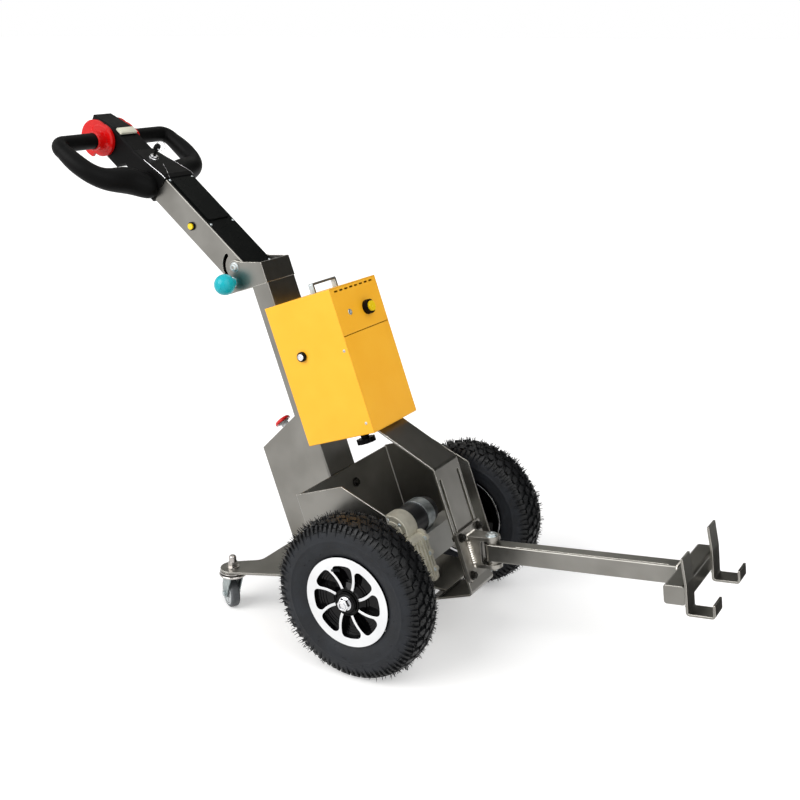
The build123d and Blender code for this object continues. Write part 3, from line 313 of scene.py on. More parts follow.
# Thick dull zinc of the caster forks.
dull_zinc = finish("barrel_plated_zinc_on_steel", ("#7C8585", "#98A2A2"), 1.0, (0.29, 0.40), 5.0, 0.02,
                   drift=12.0, edge=0.9)
# Turned bright steel of the caster studs and their domed nuts.
bright_steel = finish("turned_bright_steel", ("#A29E9B", "#B8B4B0"), 1.0, (0.12, 0.20), 6.0, 0.003,
                      edge=0.5)
# Chrome plate: the same all over, with polishing haze.
chrome = finish("chrome_plate", ("#D8D8DA", "#E2E2E4"), 1.0, (0.07, 0.14), 8.0, 0.004, edge=0.4)
# Bare weld bead, rippled and slightly tinted by heat.
weld_metal = finish("weld_bead_steel", ("#B2AEA7", "#D6D2C9"), 1.0, (0.26, 0.42), 1.6, 0.05, drift=9.0)
# Bare bright steel of the hitch, wire-brushed after welding: lighter and rougher than the coat.
bare_steel = finish("wire_brushed_bare_steel", ("#8D8A84", "#A09D97"), 1.0, (0.30, 0.40), 5.0, 0.004,
                    drift=22.0, edge=1.6)
# Blackened steel of the hitch bolts.
black_oxide = finish("black_oxide_on_steel", ("#2C2B28", "#3A3936"), 1.0, (0.30, 0.45), 3.0, 0.01, edge=0.6)
# Bright copper of the motor's cable lugs.
copper = finish("copper_lug", ("#A8623C", "#B97048"), 1.0, (0.30, 0.45), 3.0, 0.03)

# %% Finishes of rubber and plastic
# Tyre rubber with carbon black: very dark, faintly grey with bloom, dull.
tyre_rubber = finish("carbon_black_tyre_rubber", ("#0F1115", "#171A1F"), 0.0, (0.50, 0.70), 2.0, 0.06,
                     drift=40.0, Specular_IOR_Level=0.3)
# Grey non-marking rubber of the caster wheels.
grey_rubber = finish("grey_thermoplastic_rubber", ("#45474A", "#515355"), 0.0, (0.50, 0.66), 2.0, 0.05,
                     drift=20.0)
# Injection-moulded black polypropylene with a spark-eroded grain about a millimetre across.
black_moulding = finish("black_grained_polypropylene", ("#050505", "#080808"), 0.0, (0.40, 0.54), 1.1, 0.05,
                        edge=1.0, Specular_IOR_Level=0.09)
# Self-skinning foam of the handle: softer and duller than the mouldings.
soft_grip = finish("black_self_skinned_foam", ("#050505", "#070707"), 0.0, (0.44, 0.56), 1.6, 0.06,
                   Specular_IOR_Level=0.08)
# Black painted cover plate on the tiller: smooth and a little glossier.
black_cover = finish("black_painted_steel_cover", ("#050706", "#080A09"), 0.0, (0.26, 0.38), 3.0, 0.02,
                     edge=0.8, Specular_IOR_Level=0.1)
# Glossy ABS mouldings: dyed in the mass, with the mould's polish.
red_abs = finish("red_gloss_abs", ("#CB0A0A", "#D6100E"), 0.0, (0.18, 0.28), 6.0, 0.02,
                 edge=1.2, Specular_IOR_Level=0.35)
turquoise_abs = finish("turquoise_gloss_abs", ("#04A6B2", "#0AB0BB"), 0.0, (0.22, 0.32), 6.0, 0.02,
                       edge=1.2, Specular_IOR_Level=0.3)
yellow_abs = finish("yellow_gloss_abs", ("#EBC70C", "#F2D018"), 0.0, (0.20, 0.30), 6.0, 0.02, edge=0.8)
ivory_abs = finish("ivory_satin_abs", ("#D9D7C4", "#E3E1CF"), 0.0, (0.34, 0.44), 4.0, 0.02, edge=0.8)
# Battery case: thick moulded polypropylene, faintly grained.
battery_case = finish("black_polypropylene_battery_case", ("#1C1C1E", "#242426"), 0.0, (0.5, 0.6), 2.0, 0.05)
# Light grey nylon of the caster wheels' centres and the stop knob's collar.
grey_nylon = finish("light_grey_nylon", ("#A9ACAC", "#B8BBBB"), 0.0, (0.38, 0.52), 3.0, 0.03, edge=0.6)
print("finishes:", len(bpy.data.materials))

# %% [markdown]
# The sidewall of a new tyre is matt with bloom, while the tread keeps the gloss of its mould and reads
# blacker, with small glints. Both are one rubber, so the change is worked out from the distance to
# the axle, and it turns with the wheel.

# %% The tread's gloss
TREAD_FROM, TREAD_FULL = 172.0, 184.0


def from_axle(tree):
    """The surface's direction, its offset from the axle by axis, and its distance to the axle's line."""
    where = add(tree, "ShaderNodeTexCoord")
    centred = add(tree, "ShaderNodeVectorMath", {0: where.outputs["Object"], 1: axle}, operation="SUBTRACT")
    axes = add(tree, "ShaderNodeSeparateXYZ", {0: centred.outputs[0]})
    flat = add(tree, "ShaderNodeCombineXYZ", {"X": axes.outputs["X"], "Z": axes.outputs["Z"]})
    radius = add(tree, "ShaderNodeVectorMath", {0: flat.outputs[0]}, operation="LENGTH")
    return where.outputs["Normal"], axes, radius.outputs["Value"]


def wear_two(tree, mask, colours, roughness):
    """Gives a finish two coats: the first of a pair shows where the mask is 0, the second where it is 1."""
    shader = tree.nodes["Principled BSDF"]
    colour = add(tree, "ShaderNodeMix", {0: mask, 6: colours[0], 7: colours[1]}, data_type="RGBA")
    tree.links.new(colour.outputs[2], shader.inputs["Base Color"])
    rough = add(tree, "ShaderNodeMix", {0: mask, 2: roughness[0], 3: roughness[1]}, data_type="FLOAT")
    tree.links.new(rough.outputs[0], shader.inputs["Roughness"])


tree = tyre_rubber.node_tree
shader = tree.nodes["Principled BSDF"]
radius = from_axle(tree)[2]
tread = add(tree, "ShaderNodeMapRange", {0: radius, 1: TREAD_FROM * MM, 2: TREAD_FULL * MM}).outputs[0]
matt, dull = (shader.inputs[key].links[0].from_socket for key in ("Base Color", "Roughness"))
wear_two(tree, tread, (matt, linear("#060709")), (dull, 0.46))
print("tread gloss from", TREAD_FROM, "mm")

# %% [markdown]
# The wheels are pressure-cast aluminium, painted gloss black all over and then faced on a lathe, so
# only the flat front of the ring and the spokes is bright. The mask is worked out the way the lathe
# works: bright where the surface faces outwards, near the front plane and outside the hub.

# %% The faced rim
# the rim's front plane, out from the middle of its wheel
RIM_OUT = 44.5
CUT_DEPTH = 3.4
HUB_BLACK = 34.0
FACES_OUT = 0.9
rim_alloy = finish("lathe_faced_aluminium_over_black_enamel", ("#DADBDD", "#E6E7E8"), 1.0, (0.28, 0.36),
                   1.5, 0.01, edge=0.8, Specular_IOR_Level=0.18)
tree = rim_alloy.node_tree
shader = tree.nodes["Principled BSDF"]
normal, axes, radius = from_axle(tree)
depth = add(tree, "ShaderNodeMath", {0: axes.outputs["Y"]}, operation="ABSOLUTE").outputs[0]
facing = add(tree, "ShaderNodeSeparateXYZ", {0: normal}).outputs["Y"]
facing = add(tree, "ShaderNodeMath", {0: facing}, operation="ABSOLUTE").outputs[0]
mask = 1.0
# columns: what is measured, the least that is cut
for measured, least in (
    (radius, HUB_BLACK * MM),
    (depth, (half_track + RIM_OUT - CUT_DEPTH) * MM),
    (facing, FACES_OUT),
):
    above = add(tree, "ShaderNodeMath", {0: measured, 1: least}, operation="GREATER_THAN").outputs[0]
    mask = add(tree, "ShaderNodeMath", {0: mask, 1: above}, operation="MULTIPLY").outputs[0]
bright, gloss = (shader.inputs[key].links[0].from_socket for key in ("Base Color", "Roughness"))
wear_two(tree, mask, (linear("#030304"), bright), (0.07, gloss))
tree.links.new(mask, shader.inputs["Metallic"])
print("faced outside", HUB_BLACK, "mm")

# %% Give every CAD node its finish
# columns: finish, the CAD nodes that wear it
dressed = 0
for material, names in (
    (gunmetal, "base_plate chassis_shell front_strap column column_box tiller_bracket "
               "tow_arm_tube tow_crossbar tow_hooks tiller_arm"),
    (bare_steel, "hitch_bracket hitch_pin tiller_pivot_bolt"),
    (silver_paint, "axle_tubes"),
    (yellow_coat, "battery_cabinet cabinet_upper_panel cabinet_lower_panel"),
    (tyre_rubber, "left_tyre right_tyre"),
    (rim_alloy, "left_rim right_rim"),
    (black_moulding, "control_pod key_switch cabinet_clamp_knob cabinet_button_bezel side_button_bezel "
                     "cable_gland cabinet_lock"),
    (black_cover, "tiller_cover tiller_panel"),
    (soft_grip, "handle_loop"),
    (red_abs, "throttle_wings emergency_stop"),
    (turquoise_abs, "tiller_clamp_knob"),
    (yellow_abs, "cabinet_button_cap side_button_cap"),
    (ivory_abs, "rocker_switch"),
    (black_oxide, "hitch_bolts"),
    (dull_zinc, "left_caster_fork right_caster_fork"),
    (zinc, "left_caster_axle right_caster_axle cabinet_handle motor_band"),
    (bright_steel, "caster_stems"),
    (chrome, "left_axle_shaft right_axle_shaft"),
    (cast, "gearbox_housing"),
    (motor_enamel, "drive_motor"),
    (grey_rubber, "left_caster_wheel right_caster_wheel"),
    (battery_case, "battery_block"),
):
    for name in names.split():
        node = nodes[name]
        node.data.materials.clear()
        node.data.materials.append(material)
        dressed += 1
print("nodes dressed:", dressed, "of", len(nodes))

# %% [markdown]
# ## Making pieces
#
# Small hardware is turned or swept: a screw head is a profile turned about its axis, a wire is a
# circle carried along a path, a plate is a prism on its outline, and a folded tab is a bevelled
# block. Each maker adds its faces to one bmesh in millimetres, so a row of screws becomes one piece.

# %% Makers
def facing_to(direction, x=0, y=0, z=0):
    """A placement whose z axis points in a direction."""
    return placed(x, y, z) @ Vector(direction).to_track_quat("Z", "Y").to_matrix().to_4x4()


def turn(bm, profile, at=Matrix(), steps=28):
    """Turns (radius, height) points about z. A radius of zero closes the form."""
    rings = []
    for radius, height in profile:
        ring = [(*around(radius, 360 * step / steps), height) for step in range(steps if radius else 1)]
        rings.append([bm.verts.new(at @ Vector(corner)) for corner in ring])
    for low, high in zip(rings, rings[1:]):
        for step in range(steps):
            after = (step + 1) % steps
            corners = ((low, step), (low, after), (high, after), (high, step))
            bm.faces.new(list(dict.fromkeys(ring[i % len(ring)] for ring, i in corners)))


def bar(bm, size, at=Matrix(), bevel=0.6, segments=2):
    """A bevelled block about its centre."""
    made = bmesh.ops.create_cube(bm, size=1.0, matrix=at @ Matrix.Diagonal((*size, 1.0)))
    edges = list(dict.fromkeys(edge for vert in made["verts"] for edge in vert.link_edges))
    bmesh.ops.bevel(bm, geom=edges, offset=bevel, segments=segments, affect="EDGES", profile=0.5)


def wire(bm, points, radius, sides=8, at=Matrix()):
    """Carries a circle along points and closes both ends. radius may be one number or one per point."""
    points = [Vector(p) for p in points]
    radii = radius if isinstance(radius, (list, tuple)) else [radius] * len(points)
    rings, normal = [], None
    for i, point in enumerate(points):
        ahead = (points[min(i + 1, len(points) - 1)] - points[max(i - 1, 0)]).normalized()
        if normal is None:
            normal = ahead.orthogonal().normalized()
        normal = (normal - ahead * normal.dot(ahead)).normalized()
        other = ahead.cross(normal)
        ring = [around(radii[i], 360 * side / sides) for side in range(sides)]
        rings.append([bm.verts.new(at @ (point + normal * a + other * b)) for a, b in ring])
    for low, high in zip(rings, rings[1:]):
        for side in range(sides):
            after = (side + 1) % sides
            bm.faces.new((low[side], low[after], high[after], high[side]))
    bm.faces.new(reversed(rings[0]))
    bm.faces.new(rings[-1])


def prism(bm, low, high):
    """Joins two like outlines and closes both ends."""
    low, high = ([bm.verts.new(corner) for corner in outline] for outline in (low, high))
    for i in range(len(low)):
        after = (i + 1) % len(low)
        bm.faces.new((low[i], low[after], high[after], high[i]))
    bm.faces.new(low)
    bm.faces.new(high)


def curve(points, count):
    """A smooth path through points (Catmull-Rom)."""
    points = [Vector(p) for p in points]
    points = [points[0] * 2 - points[1]] + points + [points[-1] * 2 - points[-2]]
    path = []
    for i in range(len(points) - 3):
        a, b, c, d = points[i:i + 4]
        for step in range(count):
            t = step / count
            path.append(0.5 * ((2 * b) + (c - a) * t + (2 * a - 5 * b + 4 * c - d) * t * t
                               + (3 * b - a - 3 * c + d) * t ** 3))
    return path + [points[-2]]


def piece(name, bm, material, slot, body="chassis", at=body_at, sharp=38.0):
    """Makes the bmesh, drawn in millimetres in the frame `at`, into a piece of the machine."""
    bm.transform(at @ Matrix.Scale(MM, 4))
    bmesh.ops.recalc_face_normals(bm, faces=bm.faces)
    # a bevel leaves its faces in no fixed order
    for i, face in enumerate(sorted(bm.faces, key=lambda face: face.calc_center_median()[:])):
        face.index = i
    bm.faces.sort()
    mesh = bpy.data.meshes.new(name)
    bm.to_mesh(mesh)
    bm.free()
    mesh.polygons.foreach_set("use_smooth", [True] * len(mesh.polygons))
    mesh.set_sharp_from_angle(angle=math.radians(sharp))
    mesh.materials.append(material)
    made = bpy.data.objects.new(name, mesh)
    scene.collection.objects.link(made)
    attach(made, body)
    print(f"{name}: {len(mesh.polygons)} faces")
    return made


def turned(name, material, slot, *forms, **riding):
    """A piece of turned forms. columns of forms: placement, steps round, profile."""
    bm = bmesh.new()
    for place, steps, profile in forms:
        turn(bm, profile, place, steps)
    piece(name, bm, material, slot, **riding)


# %% [markdown]
# ## Tyres
#
# Each wheel carries a 4.00-8 pneumatic tyre with an all-ground tread: two staggered rows of blocks on
# each side of the middle, and a ring of wedge lugs that run down the shoulder. The carcass is a turned
# profile, and each lug is a short run of sections on that profile, so the blocks follow its curve.

# %% The carcass profile
# columns: across the tyre from its middle, radius
TYRE_PROFILE = (
    (0, 196.5), (10, 196.1), (20, 194.9), (30, 192.6), (36, 190.2), (40.5, 186.8), (44, 182), (46.8, 176),
    (49.2, 169.5), (50.9, 162), (51.7, 156.6), (52.4, 155.2), (52.4, 153.6), (51.6, 152.2), (51.2, 146),
    (49.6, 137), (46.8, 128.5), (43.4, 121.5), (41.2, 117.6), (40.6, 115.4), (39.6, 114.2),
)
RUN = [0.0]
for a, b in zip(TYRE_PROFILE, TYRE_PROFILE[1:]):
    RUN.append(RUN[-1] + math.hypot(b[0] - a[0], b[1] - a[1]))


def on_profile(run):
    """Width and radius at a run along the half profile from the crown."""
    for i in range(len(RUN) - 1):
        if run <= RUN[i + 1]:
            t = (run - RUN[i]) / (RUN[i + 1] - RUN[i])
            return Vector(TYRE_PROFILE[i]).lerp(Vector(TYRE_PROFILE[i + 1]), t)
    return Vector(TYRE_PROFILE[-1])


def on_tyre(angle, run, height):
    """A point at an angle in degrees, a signed run across the tyre and a height above the carcass."""
    side = 1 if run >= 0 else -1
    run = abs(run)
    here = on_profile(run)
    along = (on_profile(run + 2.5) - on_profile(max(run - 2.5, 0))).normalized()
    here = here + Vector((-along.y, along.x)) * height
    x, z = around(here.y, angle)
    return Vector((x, side * here.x, z))


print("half profile length", round(RUN[-1], 1))

# %% Carcass, tread blocks and shoulder lugs
AROUND = 144
PITCHES = 42
# columns: run across, shift in degrees, half width in degrees, height
MIDDLE_BLOCK = ((3, -1.3, 2.5, 6.2), (10, -0.2, 3, 6.4), (17, 0.9, 2.5, 6.4))
OUTER_BLOCK = ((20.5, -0.9, 2.3, 6.3), (28, 0.2, 2.9, 6.2), (35.5, 1, 2.2, 6))
LONG_LUG = ((37, 0, 1.35, 6), (43, 0, 1.4, 5.8), (49, 0, 1.35, 4.4), (55, 0, 1.2, 2.8), (61, 0, 0.9, 1.4),
            (66, 0, 0.35, 0.3))
SHORT_LUG = ((38.5, 0, 1.25, 5.6), (43, 0, 1.3, 5.4), (48, 0, 1.2, 3.6), (53, 0, 0.9, 1.6),
             (57, 0, 0.35, 0.3))
# how far a block is rooted in the carcass, and how many degrees its sides slope in
ROOT, SLOPE_IN = -1.0, 0.45


def carcass(bm):
    """The turned casing, closed on its inside."""
    runs = sorted({round(run, 3) for run in RUN} | {-round(run, 3) for run in RUN})
    rings = [[bm.verts.new(on_tyre(360 * step / AROUND, run, 0)) for step in range(AROUND)] for run in runs]
    for low, high in zip(rings, rings[1:] + rings[:1]):
        for step in range(AROUND):
            after = (step + 1) % AROUND
            bm.faces.new((low[step], low[after], high[after], high[step]))


def lug(bm, stations, angle, side):
    """A raised block: a run of tapered sections on the carcass, closed at both ends."""
    rows = []
    for run, shift, half, height in stations:
        middle = angle + shift * side
        top = half - min(SLOPE_IN, half * 0.4)
        section = ((-half, ROOT), (-top, height), (top, height), (half, ROOT))
        rows.append([bm.verts.new(on_tyre(middle + offset, run * side, lift)) for offset, lift in section])
    for low, high in zip(rows, rows[1:]):
        for i in range(3):
            bm.faces.new((low[i], low[i + 1], high[i + 1], high[i]))
    bm.faces.new(rows[0])
    bm.faces.new(reversed(rows[-1]))


def tread_blocks(bm):
    """All blocks and lugs. One half is staggered by half a pitch."""
    pitch = 360 / PITCHES
    for i in range(PITCHES):
        for across in (1, -1):
            here = i * pitch + (0 if across > 0 else pitch / 2)
            for stations, offset in ((MIDDLE_BLOCK, 0), (OUTER_BLOCK, pitch / 2),
                                     (LONG_LUG, 0), (SHORT_LUG, pitch / 2)):
                lug(bm, stations, here + offset, across)


# %% Vent hairs and sidewall nubs
HAIRS, NUBS = 1100, 54
HAIR_LENGTHS = (4, 12)
# inboard of this run the hairs are shorter, to clear the chassis
INBOARD_RUN, INBOARD_SHARE = -20, 0.6
# the tyre stands on these angles, where it has lost its hairs
STANDS_FROM, STANDS_TO = 250, 290


def hairs(bm, side):
    """Moulding hairs on the tread and shoulders, and short nubs on the sidewalls."""
    chance = random.Random(7 if side > 0 else 11)
    for _ in range(HAIRS):
        angle, run = chance.uniform(0, 360), chance.uniform(-56, 56)
        length = chance.uniform(*HAIR_LENGTHS) * (1 if run * side > INBOARD_RUN else INBOARD_SHARE)
        lean, bend = chance.uniform(-2.4, 2.4), chance.uniform(-3, 3)
        if STANDS_FROM < angle < STANDS_TO:
            continue
        root = on_tyre(angle, run, 3)
        outward = (on_tyre(angle, run, 4) - root).normalized()
        x, z = around(1, angle + 90)
        round_tyre = Vector((x, 0, z))
        middle = root + outward * (3 + length * 0.5) + round_tyre * lean
        tip = root + outward * (3 + length) + round_tyre * (lean + bend) + Vector((0, bend, 0))
        wire(bm, (root, middle, tip), (1.1, 0.85, 0.35), sides=3)
    for _ in range(NUBS):
        angle, run = chance.uniform(0, 360), chance.uniform(66, 112) * chance.choice((-1, 1))
        root = on_tyre(angle, run, -0.5)
        tip = on_tyre(angle + chance.uniform(-0.8, 0.8), run, 2.2)
        wire(bm, (root, root.lerp(tip, 0.6), tip), (0.9, 0.8, 0.5), sides=4)


# %% Both tyres
for side, sign in (("left", 1), ("right", -1)):
    bm = bmesh.new()
    carcass(bm)
    tread_blocks(bm)
    hairs(bm, sign)
    made = piece(f"{side}_pneumatic_tyre", bm, tyre_rubber, "tyre_rubber", f"{side}_wheel",
                 wheel_at @ placed(0, sign * half_track * MM, 0), sharp=30.0)
    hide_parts(f"{side}_tyre")

# %% [markdown]
# ## Wheels
#
# Behind the spokes the casting steps down in rings towards the barrel. The steps are turned, so they
# run under the spokes. The flange's inboard edge is bare where the lathe cut it. A rubber valve stem
# comes through one pocket, and the axle's end shows a centre hole in the nut.

# %% Steps in the pockets, valve and hub details
# out from the middle of a wheel: the pockets' floor, the flange's inboard face, the nut's end, the valve
POCKET_OUT, FLANGE_OUT, NUT_OUT, VALVE_OUT = RIM_OUT - 19, -44.2, RIM_OUT + 18.5, 28
VALVE_RADIUS, VALVE_TILT = 78, 0.35
for side, sign, valve_angle in (("left", 1, 62), ("right", -1, 118)):
    riding = {"body": f"{side}_wheel", "at": wheel_at}
    pocket, hub, nut = (facing_to((0, sign, 0), 0, sign * (half_track + out), 0)
                        for out in (POCKET_OUT, RIM_OUT, NUT_OUT))
    turned(f"{side}_rim_steps", rim_alloy, "rim_alloy",
           (pocket, 96, ((92.5, -1), (92.5, 7.5), (88.5, 7.5), (87.5, 6), (84, 5.4), (83.4, 3.6), (78, 3.2),
                         (77.4, 1.6), (71, 1.2), (70, -1))),
           (pocket, 72, ((52, -1), (51, 1.6), (47, 2.2), (46, 5), (40, 8), (35, 14), (33.5, 15.6),
                         (30, 15.6))), **riding)
    inboard = facing_to((0, -sign, 0), 0, sign * (half_track + FLANGE_OUT), 0)
    turned(f"{side}_rim_cut_edge", chrome, "rim_alloy",
           (inboard, 96, ((107, 0), (108, 1.6), (110.6, 2.2), (112.4, 1.6), (113.2, 0))), **riding)
    turned(f"{side}_hub_cap_ring", black_moulding, "black_plastic",
           (hub, 64, ((23.4, 2), (24.6, 3), (26.5, 3), (27.4, 2.2), (27.4, -2))),
           (hub, 64, ((30.5, -3), (30.5, 0.4), (33, 0.4), (33.6, -0.4), (33.6, -3))), **riding)
    turned(f"{side}_axle_end", chrome, "chrome_steel",
           (nut, 48, ((7.2, 3.2), (7.6, 3.6), (9.4, 3.6), (10.3, 2.8), (10.3, 0.2))),
           (nut, 48, ((13, 0), (12.6, 0.5), (11.2, 0.6), (10.4, 0.2))), **riding)
    x, z = around(1, valve_angle)
    valve = facing_to((VALVE_TILT * x, sign, VALVE_TILT * z),
                      VALVE_RADIUS * x, sign * (half_track + VALVE_OUT), VALVE_RADIUS * z)
    turned(f"{side}_valve_stem", tyre_rubber, "tyre_rubber",
           (valve, 20, ((0, -6), (7, -6), (7, -2), (5.4, 0), (4.6, 10), (4, 11), (4, 17), (3.2, 18),
                        (0, 18))), **riding)

# %% [markdown]
# ## Screws, bolts and locks
#
# Fasteners tell the scale of a machine, so each is turned with its washer and recess. A dome screw
# has a shallow head on a thin washer, and a hexagon bolt is the same maker with six sides.

# %% Fasteners
DOME = ((0, 3.2), (1.1, 3.2), (1.2, 2), (2, 2), (2.1, 3.1), (3.6, 2.5), (4.4, 1.5), (4.6, 0.6))
DOME_WASHER = ((4.4, 0.7), (6, 0.7), (6.3, 0.3), (6.3, -0.3))
SMALL = 0.62


def dome_screw(bm, at, size):
    """A dome head with a round recess on a washer. size scales it."""
    turn(bm, DOME, at @ Matrix.Scale(size, 4), 20)
    turn(bm, DOME_WASHER, at @ Matrix.Scale(size, 4), 20)


def hexagon_bolt(bm, at, across, height):
    """A hexagon head with a chamfered top on a washer."""
    corner = across / math.sqrt(3)
    turn(bm, ((corner * 1.45, -0.2), (corner * 1.45, 1.3), (corner * 1.4, 1.6), (corner * 0.6, 1.6)), at, 28)
    turn(bm, ((corner, 1.4), (corner, height), (corner * 0.88, height + 1), (0, height + 1)), at, 6)


# %% Cabinet's side: screws and lock
# the cabinet's half width, and how far the lock stands out of it
SIDE, LOCK_PROUD = 102.5, 7
bm = bmesh.new()
for x, z in ((43, 553), (40, 368)):
    for sign in (-1, 1):
        dome_screw(bm, facing_to((0, sign, 0), x, sign * SIDE, z), SMALL)
piece("cabinet_side_screws", bm, zinc, "zinc_steel")
lock = facing_to((0, -1, 0), -85, -SIDE - LOCK_PROUD, 566)
turned("cabinet_lock_rim", black_moulding, "black_plastic",
       (lock, 40, ((12.5, -1), (12.5, 0.2), (11.6, 0.9), (9.6, 0.9), (9, 0.2))))
turned("cabinet_lock_barrel", chrome, "chrome_steel",
       (lock, 40, ((8.8, -0.5), (8.8, 2.4), (8, 3.4), (5.6, 3.6), (5.2, 2.6), (1.4, 2.6), (1.2, 1), (0, 1))))

# %% Cabinet's front: key toggle, and grip ribs of the button
FRONT = 55.0
TOGGLE_Y, TOGGLE_Z, TOGGLE_TILT = -47, 638, 18
BUTTON_Y, BUTTON_Z, RIBS, RIB_RADIUS = 27, 635, 12, 17.6
bm = bmesh.new()
turn(bm, ((7.5, -0.5), (7.5, 1.4), (6.8, 2), (4.6, 2), (4.2, 1.2), (0, 1.2)),
     facing_to((1, 0, 0), FRONT, TOGGLE_Y, TOGGLE_Z), 32)
bar(bm, (3, 2.6, 9), placed(FRONT + 3, TOGGLE_Y, TOGGLE_Z + 1, TOGGLE_TILT), 0.8)
piece("cabinet_key_toggle", bm, zinc, "zinc_steel")
bm = bmesh.new()
for index in range(RIBS):
    angle = 360 / RIBS * index
    y, z = around(RIB_RADIUS, angle)
    bar(bm, (10, 3.2, 1.6), placed(FRONT + 7, BUTTON_Y + y, BUTTON_Z + z, angle + 90, "X"), 0.5, 1)
piece("cabinet_button_grip_ribs", bm, black_moulding, "black_plastic")

# %% Bolt in the housing's rear wall
REAR_WALL = -149.9
bm = bmesh.new()
hexagon_bolt(bm, facing_to((1, 0, 0), REAR_WALL, 32, 197), 15, 7)
piece("rear_wall_bolt", bm, black_oxide, "zinc_steel")

# %% [markdown]
# ## Welds
#
# The hitch and the tow arm are welded by hand. A bead is a round string of small overlapping ripples,
# so it is swept as a wire whose radius pulses along its length. Each one lies in the corner that it
# fills. On the hitch that corner is found from the plate's own plane, which leans more than the ears.

# %% The bead maker
RIPPLE, PINCH = 2.6, 0.72


def weld(bm, corners, radius, ripple=RIPPLE):
    """A rippled bead through corners, in mm."""
    points, radii = [], []
    for a, b in zip(corners, corners[1:]):
        a, b = Vector(a), Vector(b)
        count = max(2, int((b - a).length / (ripple / 2)))
        for i in range(count + (b == Vector(corners[-1]))):
            points.append(a.lerp(b, i / count))
            radii.append(radius * (1.0 if len(radii) % 2 else PINCH))
    wire(bm, points, radii)


# %% Beads of the hitch
PLATE_FACE = 167.5
# the ears' inner and outer faces, above and below the pin's middle
EAR_IN, EAR_OUT = 31, 41
tow_in_body = body_at.inverted() @ tow_at


def at_plate(y, z, off=0.0):
    """A point on the hitch plate's face at this y and z, or off it, in the tow frame's millimetres."""
    row = tow_in_body[0]
    return ((PLATE_FACE - row[3] / MM - row[2] * z) / row[0] + off, y, z)


bm = bmesh.new()
for z in (EAR_IN, EAR_OUT, -EAR_IN, -EAR_OUT):
    weld(bm, (at_plate(-20.5, z), at_plate(20.5, z)), 3.0)
for y in (-21.3, 21.3):
    for z in (EAR_IN + 0.5, 0.5 - EAR_OUT):
        weld(bm, (at_plate(y, z), at_plate(y, z + 9)), 2.8)
for y in (-8.2, 8.2):
    weld(bm, [at_plate(y, z, 2.0) for z in (-30, 30)], 4.0)
# The beads along the cheeks carry the pull, so they are the fattest and the most coarsely rippled.
for y in (-23.4, 23.4):
    weld(bm, [at_plate(y, z, 3.2) for z in (-29, 29)], 6.4, ripple=5.6)
piece("hitch_weld_beads", bm, weld_metal, "sheet_grey", at=tow_at)

# %% Beads of the tow arm
# the arm meets the crossbar here, and a hook's bead is this long
ARM_END, BEAD_LONG = 472.6, 46
ROUND_ARM = ((-17, -22.8), (17, -22.8), (20.3, -19), (20.3, 19), (17, 22.8), (-17, 22.8), (-20.3, 19),
             (-20.3, -19), (-17, -22.8))
bm = bmesh.new()
weld(bm, [(ARM_END, y, z) for y, z in ROUND_ARM], 2.4)
for y in (-119, 73):
    for x, z, radius in ((523.4, 21.6, 1.8), (521.4, -24, 2.2)):
        weld(bm, ((x, y, z), (x, y + BEAD_LONG, z)), radius)
piece("tow_arm_weld_beads", bm, weld_metal, "sheet_grey", "tow_arm", tow_at)

# %% [markdown]
# ## Hitch cheeks
#
# A plate on each side closes the hitch between its ears. Its front edge runs round into both ears and
# stays clear of the arm's rounded end. The outline is drawn as a flat polygon in the side view and
# pulled out to the plate's thickness.

# %% Cheeks between the ears
CHEEK_FRONT, CHEEK_CORNER, CHEEK_OUT, CHEEK_THICK = -23.5, 6, 20.6, 6
bm = bmesh.new()
for outer in (-CHEEK_OUT, CHEEK_OUT - CHEEK_THICK):
    outline = [at_plate(outer, z) for z in (EAR_IN, -EAR_IN)]
    for end in (-1, 1):
        for step in range(7)[::end]:
            x, z = around(CHEEK_CORNER, 15 * step)
            outline.append((CHEEK_FRONT + CHEEK_CORNER - x, outer, end * (EAR_IN - CHEEK_CORNER + z)))
    prism(bm, outline, [(x, y + CHEEK_THICK, z) for x, y, z in outline])
piece("hitch_cheeks", bm, bare_steel, "sheet_grey", at=tow_at)

# %% [markdown]
# ## The ground seam
#
# The column and the electrics box behind it are welded and ground flush, so on the real frame no joint
# shows between them. The solids meet there with a fine groove. A strip that lies flush in the side
# face covers it, and it wears the coat without the rounded edge and its painted highlight, which would
# draw the joint again.

# %% Weld ground flush between the column and the box behind it
SEAM_X, SEAM_FROM, SEAM_TO, COLUMN_HALF = -208, -60, 416, 59.5
# columns: across the seam, out of the side face
SEAM = ((-4.6, -0.4), (-3, 0.35), (3, 0.35), (4.6, -0.4))
bm = bmesh.new()
for sign in (-1, 1):
    prism(bm, *([(SEAM_X + x, sign * (COLUMN_HALF + y), z) for x, y in SEAM] for z in (SEAM_FROM, SEAM_TO)))
piece("column_seam_weld", bm, flush_coat, "sheet_grey", sharp=60.0)

# %% Washers and stud ends of the hitch, pin clip
bm = bmesh.new()
for y in (-44.5, 44.5):
    for z in (-70, 29):
        stud = facing_to((1, 0, 0), PLATE_FACE, y, z)
        turn(bm, ((11.6, -0.2), (11.6, 1.4), (11.2, 1.8), (9, 1.8)), stud, 32)
        threads = [(5.25 if i % 2 else 4.7, 8.8 + 0.5 * i) for i in range(9)]
        turn(bm, threads + [(4.2, 13.6), (0, 13.6)], stud, 20)
piece("hitch_washers_and_threads", bm, black_oxide, "zinc_steel")
CLIP_Z = -46
clip = ((0, -20), (0, -11), (0, 11), (4, 17), (9, 15), (11, 9), (9, 0), (11, -12))
bm = bmesh.new()
turn(bm, ((0, 47.4), (3.4, 47.4), (3.8, 48.2), (8.6, 48), (11.4, 47.2), (12.2, 46), (12.2, 42.4),
          (15.6, 42.2), (16, 41.6), (16, 41)), steps=32)
